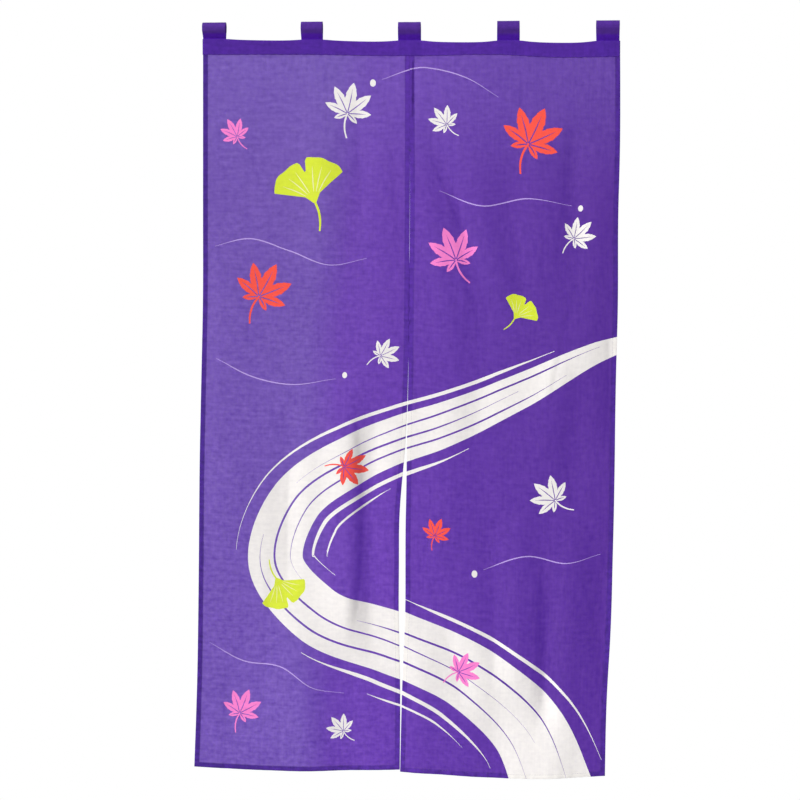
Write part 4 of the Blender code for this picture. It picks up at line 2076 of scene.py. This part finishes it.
@dataclass
class HeaderBand:
    """A strip of cloth folded over the panels' top edges, its lower edges turned in and sewn through."""

    thickness: float = 0.44 * MM
    layer: float = 1.30 * MM
    turn_in: float = 8.0 * MM
    turn_radius: float = 0.26 * MM
    across_step: float = 2.6 * MM
    end_inset: float = 0.35 * MM
    end_spread: Pair = (0.80, 0.20)
    end_reach: float = 5 * MM
    stitch_up: float = 2.4 * MM
    stitch_end: float = 2 * MM
    pucker: float = 0.26 * MM
    pucker_pitch: float = 17 * MM
    pucker_drift: float = 1.8
    pucker_reach: float = 0.30
    wave_share: float = 0.7
    rough_share: float = 0.45
    loop_shade: float = 0.8
    loop_soft: float = 3.0 * MM
    SECTIONS = 90
    WANDER_SHAPE, CRUMPLE_SHAPE = (44, 4), (150, 7)
    FOLD_POINTS, FACE_POINTS, TURN_IN_POINTS = 7, 13, 4
    FACE_DEPTH = 0.6
    FRONT_ROW, BACK_ROW = 0.2, 0.8
    MAP_EDGE, MAP_ALONG, MAP_ROUND = 0.01, 0.98, 0.47

    def read(self, node: Object) -> None:
        """Read where the strip lies.

        Args:
            node: The header's node.
        """
        solid_band = HungSolid(node)
        self.left, self.right = solid_band.points[:, 0].min(), solid_band.points[:, 0].max()
        ends = self.left + MM, self.right - MM
        self.foot, self.top = solid_band.ends(0, 2, *ends, self.SECTIONS)
        front, back = solid_band.ends(0, 1, *ends, self.SECTIONS)
        self.depth = Row(*ends, (front.values + back.values) / 2)
        rng = np.random.default_rng(HEADER_SEED)
        self.wander = Lattice(rng.normal(0.0, 1.0, self.WANDER_SHAPE))
        self.crumple = Lattice(rng.normal(0.0, 1.0, self.CRUMPLE_SHAPE))

    def profile(self) -> Array:
        """The folded strip from its front turn-in to its back one.

        Returns:
            Rows: depth, share of the height from the foot's fold to the top fold's centre, rise in
            metres from there, and the angle at which the cloth faces (0 to the front).
        """
        half_turn = np.linspace(0.0, math.pi, self.FOLD_POINTS)[1:-1]
        r, big, mid = self.turn_radius, self.layer, self.layer - self.turn_radius
        turned_in = np.linspace(1.0, 0.0, self.TURN_IN_POINTS)
        inner = [(-big + 2 * r, 0.0, up * self.turn_in, math.pi) for up in turned_in]
        foot = [(-mid + r * math.cos(a), 0.0, -r * math.sin(a), math.pi + a) for a in half_turn]
        front = [(-big, up, 0.0, 2 * math.pi) for up in np.linspace(0.0, 1.0, self.FACE_POINTS)]
        over = [(-big * math.cos(a), 1.0, big * math.sin(a), 2 * math.pi + a) for a in half_turn]
        half = np.array([*inner, *foot, *front])
        back = half[::-1] * (-1, 1, 1, 0)
        back[:, 3] = 3 * math.pi + (2 * math.pi - half[::-1, 3])
        return np.vstack([half, over, back])

    def place(self, x: Array, row: Array, behind: float) -> Array:
        """Points of the strip at one row of its profile.

        Args:
            x: Places along the strip.
            row: The profile's row.
            behind: How far they lie inside the cloth's middle.

        Returns:
            The points.
        """
        depth, share, rise, angle = row
        low = self.foot.at(x) + self.turn_radius + self.thickness / 2
        high = self.top.at(x) - self.layer - self.thickness / 2
        z = low + share * (high - low) + rise
        inward = self.end_pinch(x)
        y = self.depth.at(x) + depth * inward
        out_y, out_z = -math.cos(angle), math.sin(angle)
        shift = -behind + self.wrinkle(x, (z - low) / (high - low), depth)
        return np.column_stack([x, y + out_y * shift, z + out_z * shift])

    def end_pinch(self, x: Array) -> Array:
        """How far apart the two layers lie, as a share: less at the strip's ends.

        Args:
            x: Places along the strip.

        Returns:
            The shares.
        """
        edge = np.minimum(x - self.left, self.right - x)
        least, more = self.end_spread
        return least + more * soft_step(edge, 0.0, self.end_reach)

    def wrinkle(self, x: Array, up: Array, depth: float) -> Array:
        """Small waves of the sewn strip, most at its stitched foot.

        Args:
            x: Places along the strip.
            up: Share of its height.
            depth: Which layer, by its depth.

        Returns:
            How far each place stands out.
        """
        s = (x - self.left) / (self.right - self.left)
        up = np.clip(up, 0.0, 1.0)
        wander = self.wander.at(s, np.full(len(x), self.FRONT_ROW if depth < 0 else self.BACK_ROW))
        wave = np.sin(2 * math.pi * x / self.pucker_pitch + self.pucker_drift * wander)
        near_foot = np.exp(-up / self.pucker_reach)
        rough = self.crumple.at(s, up / 2 if depth < 0 else 1 - up / 2)
        waves = near_foot * wave * self.wave_share + rough * self.rough_share
        return self.pucker * waves * (np.abs(depth) > self.FACE_DEPTH * self.layer)

    def build(self) -> Object:
        """Build the strip.

        Returns:
            The piece.
        """
        count = int((self.right - self.left) / self.across_step)
        x = np.linspace(self.left + self.end_inset, self.right - self.end_inset, count)
        rows = self.profile()
        half = self.thickness / 2
        outer = np.stack([self.place(x, row, -half) for row in rows])
        inner = np.stack([self.place(x, row, half) for row in rows])
        points = np.vstack([outer.reshape(-1, 3), inner.reshape(-1, 3)])
        piece = mesh_object("header_cloth", points, self.faces(len(rows), count))
        self.lay_maps(piece, x, outer)
        return self.declare(piece, outer)

    @staticmethod
    def faces(rows: int, count: int) -> Array:
        """Faces of the strip's outer and inner side and of its edges.

        Args:
            rows: How many rows the profile has.
            count: How many points each has.

        Returns:
            Rows of point numbers.
        """
        number = np.arange(rows * count).reshape(rows, count)
        a, b, c, d = number[:-1, :-1], number[:-1, 1:], number[1:, 1:], number[1:, :-1]
        outer = np.stack([a, b, c, d], axis=-1).reshape(-1, 4)
        shift = rows * count
        loop = np.concatenate([number[0], number[1:, -1], number[-1, -2::-1], number[-2:0:-1, 0]])
        after = np.roll(loop, -1)
        rim = np.column_stack([after, loop, loop + shift, after + shift])
        return np.vstack([outer, outer[:, ::-1] + shift, rim])

    def lay_maps(self, piece: Object, x: Array, outer: Array) -> None:
        """Give the strip its maps: along it, and round its profile.

        Args:
            piece: The strip.
            x: Places along it.
            outer: Points of its outer side, row after row.
        """
        round_it = run_so_far(outer[:, len(x) // 2])
        s, t = (x - x[0]) / (x[-1] - x[0]), round_it / round_it[-1]
        along, round_share = self.MAP_EDGE + self.MAP_ALONG * s, self.MAP_EDGE + self.MAP_ROUND * t
        share = np.array([(a, b) for b in round_share for a in along])
        lay_map(piece, BAKE_MAP, np.vstack([share, share + (0.0, 0.5)]))
        place = np.array([(a, b) for b in round_it for a in x])
        lay_map(piece, CLOTH_MAP, np.vstack([place, place]))
        self.flat = (float(x[-1] - x[0]), float(round_it[-1]))

    def declare(self, piece: Object, outer: Array) -> Object:
        """Dress the strip and say what size it was cut to.

        Args:
            piece: The strip.
            outer: Points of its outer side, row after row.

        Returns:
            The piece.
        """
        x = np.tile(outer[:, :, 0].ravel(), 2)
        # Where the loops' ends lie behind the header, its colour turns darker: painted shade, beside the real
        # cut in light coming through.
        behind = [window(x, low.x, high.x, self.loop_soft) for low, high in map(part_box, LOOP_NODES)]
        lay_values(piece, LAYERS_AND_SHADE, np.max(behind, axis=0) * self.loop_shade, "POINT")
        dress(piece, HEADER_FINISH.make(), ["header_band"])
        LOG.info("%s is cut %.3f x %.3f m", piece.name, *self.flat)
        return piece

    def sew(self, sewing: Sewing) -> None:
        """Sew through the header, along its foot.

        Args:
            sewing: Takes the stitches.
        """
        x = np.arange(self.left + self.stitch_end, self.right - self.stitch_end, SEWING_STEP)
        for number, depth in enumerate((-self.layer, self.layer)):
            height = self.top.at(x) - self.foot.at(x)
            share = self.stitch_up / float(height.mean())
            row = np.array([depth, share, 0.0, 0.0 if depth < 0 else math.pi])
            line = self.place(x, row, -self.thickness / 2)
            out = np.tile([0.0, math.copysign(1.0, depth), 0.0], (len(x), 1))
            sewing.along(line, out, HEADER_SEED + number)


# -------- loops


@dataclass
class RodLoop:
    """One strip of doubled cloth, folded over the rod, its ends sewn down behind the header."""

    number: int
    header: HeaderBand
    thickness: float = 0.86 * MM
    curl_radius: float = 11.5 * MM
    solid_half: float = 0.5 * MM
    front_leg: float = 2.6 * MM
    leg_pace: float = 1.2 * MM
    pinch: float = 2.0 * MM
    bend: float = 4.0 * MM
    tail: float = 25.0 * MM
    step: float = 1.5 * MM
    across_steps: int = 18
    edge_inset: float = 2.2 * MM
    painted_shade_rise: float = 14.5 * MM
    painted_shade_soft: float = 4 * MM
    wrinkle: float = 0.14 * MM
    waist: float = 0.012
    waists: float = 3.0
    BUMPS_SHAPE = (30, 9)
    BEND_POINTS, CURL_POINTS, EDGE_POINTS = 7, 40, 7
    MAP_EDGE, MAP_SPAN = 0.01, 0.98

    def build(self, material: bpy.types.Material) -> Object:
        """Build the loop.

        Args:
            material: Its cloth.

        Returns:
            The piece.
        """
        low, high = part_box(f"loop_{self.number}")
        self.x, self.half_width = (low.x + high.x) / 2, (high.x - low.x) / 2
        self.centre_z = high.z - self.curl_radius - self.solid_half
        self.line, self.out = self.resampled(self.path())
        self.bumps = Lattice(np.random.default_rng(self.number).normal(0.0, 1.0, self.BUMPS_SHAPE))
        points, ring = self.sweep()
        piece = mesh_object(f"loop_{self.number}_cloth", points, self.faces(len(self.line), ring))
        self.lay_maps(piece, ring)
        lay_values(piece, LAYERS_AND_SHADE, self.layers(), "POINT")
        dress(piece, material, [f"loop_{self.number}"])
        return piece

    def leg(self, depth: float, height: float, side: int) -> Tuple[List[Array], float]:
        """One leg from its sewn end up to the curl.

        Args:
            depth: How far behind the rod's axis it is sewn.
            height: Where the legs meet, from the curl's centre.
            side: -1 for the leg that runs up in front of the rod, 1 for the one behind.

        Returns:
            Points (y, z) from the curl's centre, and the angle at which the leg meets the curl.
        """
        meet = np.array([depth, height])
        reach = float(np.linalg.norm(meet))
        touch = math.atan2(height, depth) + side * math.acos(self.curl_radius / reach)
        rod_point = np.array([math.cos(touch), math.sin(touch)]) * self.curl_radius
        up = (rod_point - meet) / np.linalg.norm(rod_point - meet)
        run = self.bend * math.tan(math.acos(up[1]) / 2)
        start, end = meet - (0.0, run), meet + up * run
        shares = np.linspace(0, 1, self.BEND_POINTS)
        curve = [(1 - t) ** 2 * start + 2 * t * (1 - t) * meet + t * t * end for t in shares]
        return [meet - (0.0, self.pinch + self.tail), *curve], touch

    def path(self) -> Array:
        """Points (y, z) along the middle of the strip, from its front end over the rod to its back end.

        Returns:
            The points.
        """
        height = float(self.header.top.at(self.x)) + self.pinch - self.centre_z
        front, front_touch = self.leg(self.front_leg, height, -1)
        back, back_touch = self.leg(self.front_leg + self.leg_pace, height, 1)
        angles = np.linspace(front_touch, back_touch - 2 * math.pi, self.CURL_POINTS)
        over = [np.array([math.cos(a), math.sin(a)]) * self.curl_radius for a in angles]
        return np.array([*front, *over, *back[::-1]])

    def resampled(self, path: Array) -> Tuple[Array, Array]:
        """Even points along the path, and the vectors that face away from the rod at each.

        Args:
            path: Points (y, z).

        Returns:
            The points and the vectors.
        """
        places = run_so_far(path)
        self.length = float(places[-1])
        at = np.linspace(0.0, self.length, int(self.length / self.step) + 1)
        line = read_at(at, places, path)
        return line, sideways(line)

    def section(self) -> Array:
        """The strip's section: share across from -1 to 1, inset from the edge, and rise.

        Returns:
            A row for each of its points.
        """
        r = self.thickness / 2
        across = np.linspace(-1.0, 1.0, self.across_steps + 1)
        angles = np.linspace(math.pi / 2, -math.pi / 2, self.EDGE_POINTS)[1:-1]
        face = [(share, -r * share, r) for share in across]
        right = [(1.0, -r + r * math.cos(a), r * math.sin(a)) for a in angles]
        back = [(share, -r * share, -r) for share in across[::-1]]
        left = [(-1.0, r - r * math.cos(a), -r * math.sin(a)) for a in angles]
        return np.array([*face, *right, *back, *left])

    def sweep(self) -> Tuple[Array, int]:
        """Points of the strip, section after section, and how many each section has.

        Returns:
            The points, and how many a section has.
        """
        section = self.section()
        rows = []
        for k, ((y, z), (out_y, out_z)) in enumerate(zip(self.line, self.out)):
            along = k / (len(self.line) - 1)
            s = np.full(len(section), along)
            bump = self.wrinkle * self.bumps.at(s, (section[:, 0] + 1) / 2)
            width = self.half_width * (1 - self.waist * math.sin(along * math.pi * self.waists + self.number))
            x = self.x + section[:, 0] * width + section[:, 1]
            rise = section[:, 2] + bump
            rows.append(np.column_stack([x, y + out_y * rise, self.centre_z + z + out_z * rise]))
        return np.vstack(rows), len(section)

    @staticmethod
    def faces(rows: int, ring: int) -> List[Tuple[int, ...]]:
        """Faces round the strip, and one that closes each end.

        Args:
            rows: How many sections.
            ring: How many points each has.

        Returns:
            Rows of point numbers.
        """
        made = ring_quads(rows, ring)
        made.append(tuple(range(ring))[::-1])
        made.append(tuple((rows - 1) * ring + k for k in range(ring)))
        return made

    def lay_maps(self, piece: Object, ring: int) -> None:
        """Give the strip its maps: round its section, and along it.

        Args:
            piece: The strip.
            ring: How many points a section has.
        """
        rows = len(self.line)
        round_it = np.arange(ring) / ring
        share = np.array([(r, k / (rows - 1)) for k in range(rows) for r in round_it])
        lay_map(piece, BAKE_MAP, self.MAP_EDGE + self.MAP_SPAN * share)
        across = self.section()[:, 0] * self.half_width
        metres = np.array([(self.x + a, k * self.step) for k in range(rows) for a in across])
        lay_map(piece, CLOTH_MAP, metres)

    def layers(self) -> Array:
        """How much cloth lies behind each point, most where the legs meet; the loop's painted shade goes
        there.

        Returns:
            A share for each point.
        """
        along = np.arange(len(self.line)) * self.step
        from_end = np.minimum(along, self.length - along)
        dark = self.tail + self.painted_shade_rise
        legs = 1 - soft_step(from_end, dark - self.painted_shade_soft, dark + self.painted_shade_soft)
        return np.repeat(legs, len(self.section()))

    def sew(self, sewing: Sewing) -> None:
        """Sew along both edges of the strip, on its outer side.

        Args:
            sewing: Takes the stitches.
        """
        outer = self.thickness / 2 + self.wrinkle * 0.5
        for side in (-1, 1):
            x = np.full(len(self.line), self.x + side * (self.half_width - self.edge_inset))
            points = self.line + self.out * outer
            line = np.column_stack([x, points[:, 0], points[:, 1] + self.centre_z])
            out = np.column_stack([np.zeros(len(x)), self.out])
            sewing.along(line, out, LOOP_SEED + 2 * self.number + (side > 0))


# -------- studio


@dataclass(frozen=True)
class Sun:
    """A far, soft lamp: where its light comes from in degrees, how wide it looks, and its strength."""

    name: str
    azimuth: float
    height: float
    spread: float
    strength: float


@dataclass(frozen=True)
class Studio:
    """A round pale floor in plain white, soft lamps, and the camera."""

    floor_z: float = -1.80
    floor_radius: float = 4.0
    floor_sides: int = 64
    camera_aim: Tuple[float, float, float] = (-0.02113, 0.0, -0.75924)
    camera_place: Tuple[float, float, float] = (0.21406, -4.48767, -0.52373)
    lens: float = 98.63
    sensor: float = 36.0
    sight: float = 50.0
    ambient: float = 0.55
    suns: Tuple[Sun, ...] = (
        Sun("key_light", -52.0, 24.0, 16.0, 2.7),
        Sun("back_light", 165.0, 30.0, 25.0, 0.8),
    )

    def build(self) -> None:
        """Set up the floor, the light and the camera."""
        self.floor()
        for sun in self.suns:
            self.shine(sun)
        self.sky()
        self.camera()
        bpy.context.scene.view_settings.view_transform = "Standard"

    def floor(self) -> None:
        """A round sheet of paper, which takes shade and which diffuse and glossy rays pass through."""
        angles = np.linspace(0.0, 2 * math.pi, self.floor_sides, endpoint=False)
        rim = np.column_stack([np.cos(angles), np.sin(angles), np.zeros(len(angles))]) * self.floor_radius
        paper = mesh_object("studio_paper", rim, [range(len(rim))])
        paper.location.z = self.floor_z
        paper.data.materials.append(StudioFinish().make())
        paper.visible_diffuse = False
        paper.visible_glossy = False

    @staticmethod
    def aimed(obj: Object, place: Sequence[float], aim: Sequence[float]) -> None:
        """Put an object at a place, looking at another.

        Args:
            obj: The object.
            place: Where it stands.
            aim: Where it looks.
        """
        obj.location = place
        obj.rotation_euler = (Vector(aim) - Vector(place)).to_track_quat("-Z", "Y").to_euler()
        bpy.context.scene.collection.objects.link(obj)

    def shine(self, sun: Sun) -> None:
        """Add one far lamp; azimuth 0 lights the front, and -90 comes from the left.

        Args:
            sun: The lamp.
        """
        data = bpy.data.lights.new(sun.name, "SUN")
        data.angle = math.radians(sun.spread)
        data.energy = sun.strength
        around, up = math.radians(sun.azimuth), math.radians(sun.height)
        place = (math.sin(around) * math.cos(up), -math.cos(around) * math.cos(up), math.sin(up))
        self.aimed(bpy.data.objects.new(sun.name, data), place, (0.0, 0.0, 0.0))

    def sky(self) -> None:
        """Even white light from all round, and the plain white behind everything."""
        bench = Bench(bpy.data.worlds.new("studio_light"))
        white = (1.0, 1.0, 1.0, 1.0)
        light = bench.add("ShaderNodeBackground", None, {"Color": white, "Strength": self.ambient})
        seen = bench.add("ShaderNodeBackground", None, {"Color": white, "Strength": 1.0})
        direct = bench.add("ShaderNodeLightPath", None, None, "Is Camera Ray")
        mixed = bench.add("ShaderNodeMixShader", None, {0: direct, 1: light, 2: seen})
        bpy.context.scene.world = bench.finish(mixed, "ShaderNodeOutputWorld")

    def camera(self) -> None:
        """Add the camera."""
        data = bpy.data.cameras.new("camera")
        data.lens = self.lens
        data.sensor_width = self.sensor
        data.clip_end = self.sight
        camera = bpy.data.objects.new("camera", data)
        self.aimed(camera, self.camera_place, self.camera_aim)
        bpy.context.scene.camera = camera


# -------- the whole curtain


def main() -> None:
    """Load the frame, build every piece round it, and report each one."""
    logging.basicConfig(level=logging.INFO, format="%(message)s")
    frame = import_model()
    Studio().build()
    patches = WaterAndLeaves().patches()
    left = Panel("left", -CURTAIN_WIDTH / 2, LEFT_RELIEF)
    right = Panel("right", 0.0, RIGHT_RELIEF, fine_lines=GROOVE_LINES)
    thread = ThreadFinish().make()
    for number, panel in enumerate((left, right)):
        panel.hang(frame["nodes"][panel.node])
        panel.build(patches)
        sewing = Sewing(f"{panel.node}_stitches")
        panel.sew_hems(sewing, HEM_SEED * (number + 1))
        dress(sewing.make(), thread)
    header = HeaderBand()
    header.read(frame["nodes"]["header_band"])
    header.build()
    header_sewing = Sewing("header_stitches")
    header.sew(header_sewing)
    CentreSeam(left, right).sew(header_sewing)
    dress(header_sewing.make(), thread)
    loop_cloth = LOOP_FINISH.make()
    loop_sewing = Sewing("loop_stitches")
    for number in LOOP_NUMBERS:
        loop = RodLoop(number, header)
        loop.build(loop_cloth)
        loop.sew(loop_sewing)
    dress(loop_sewing.make(), thread)


if __name__ == "__main__":
    main()
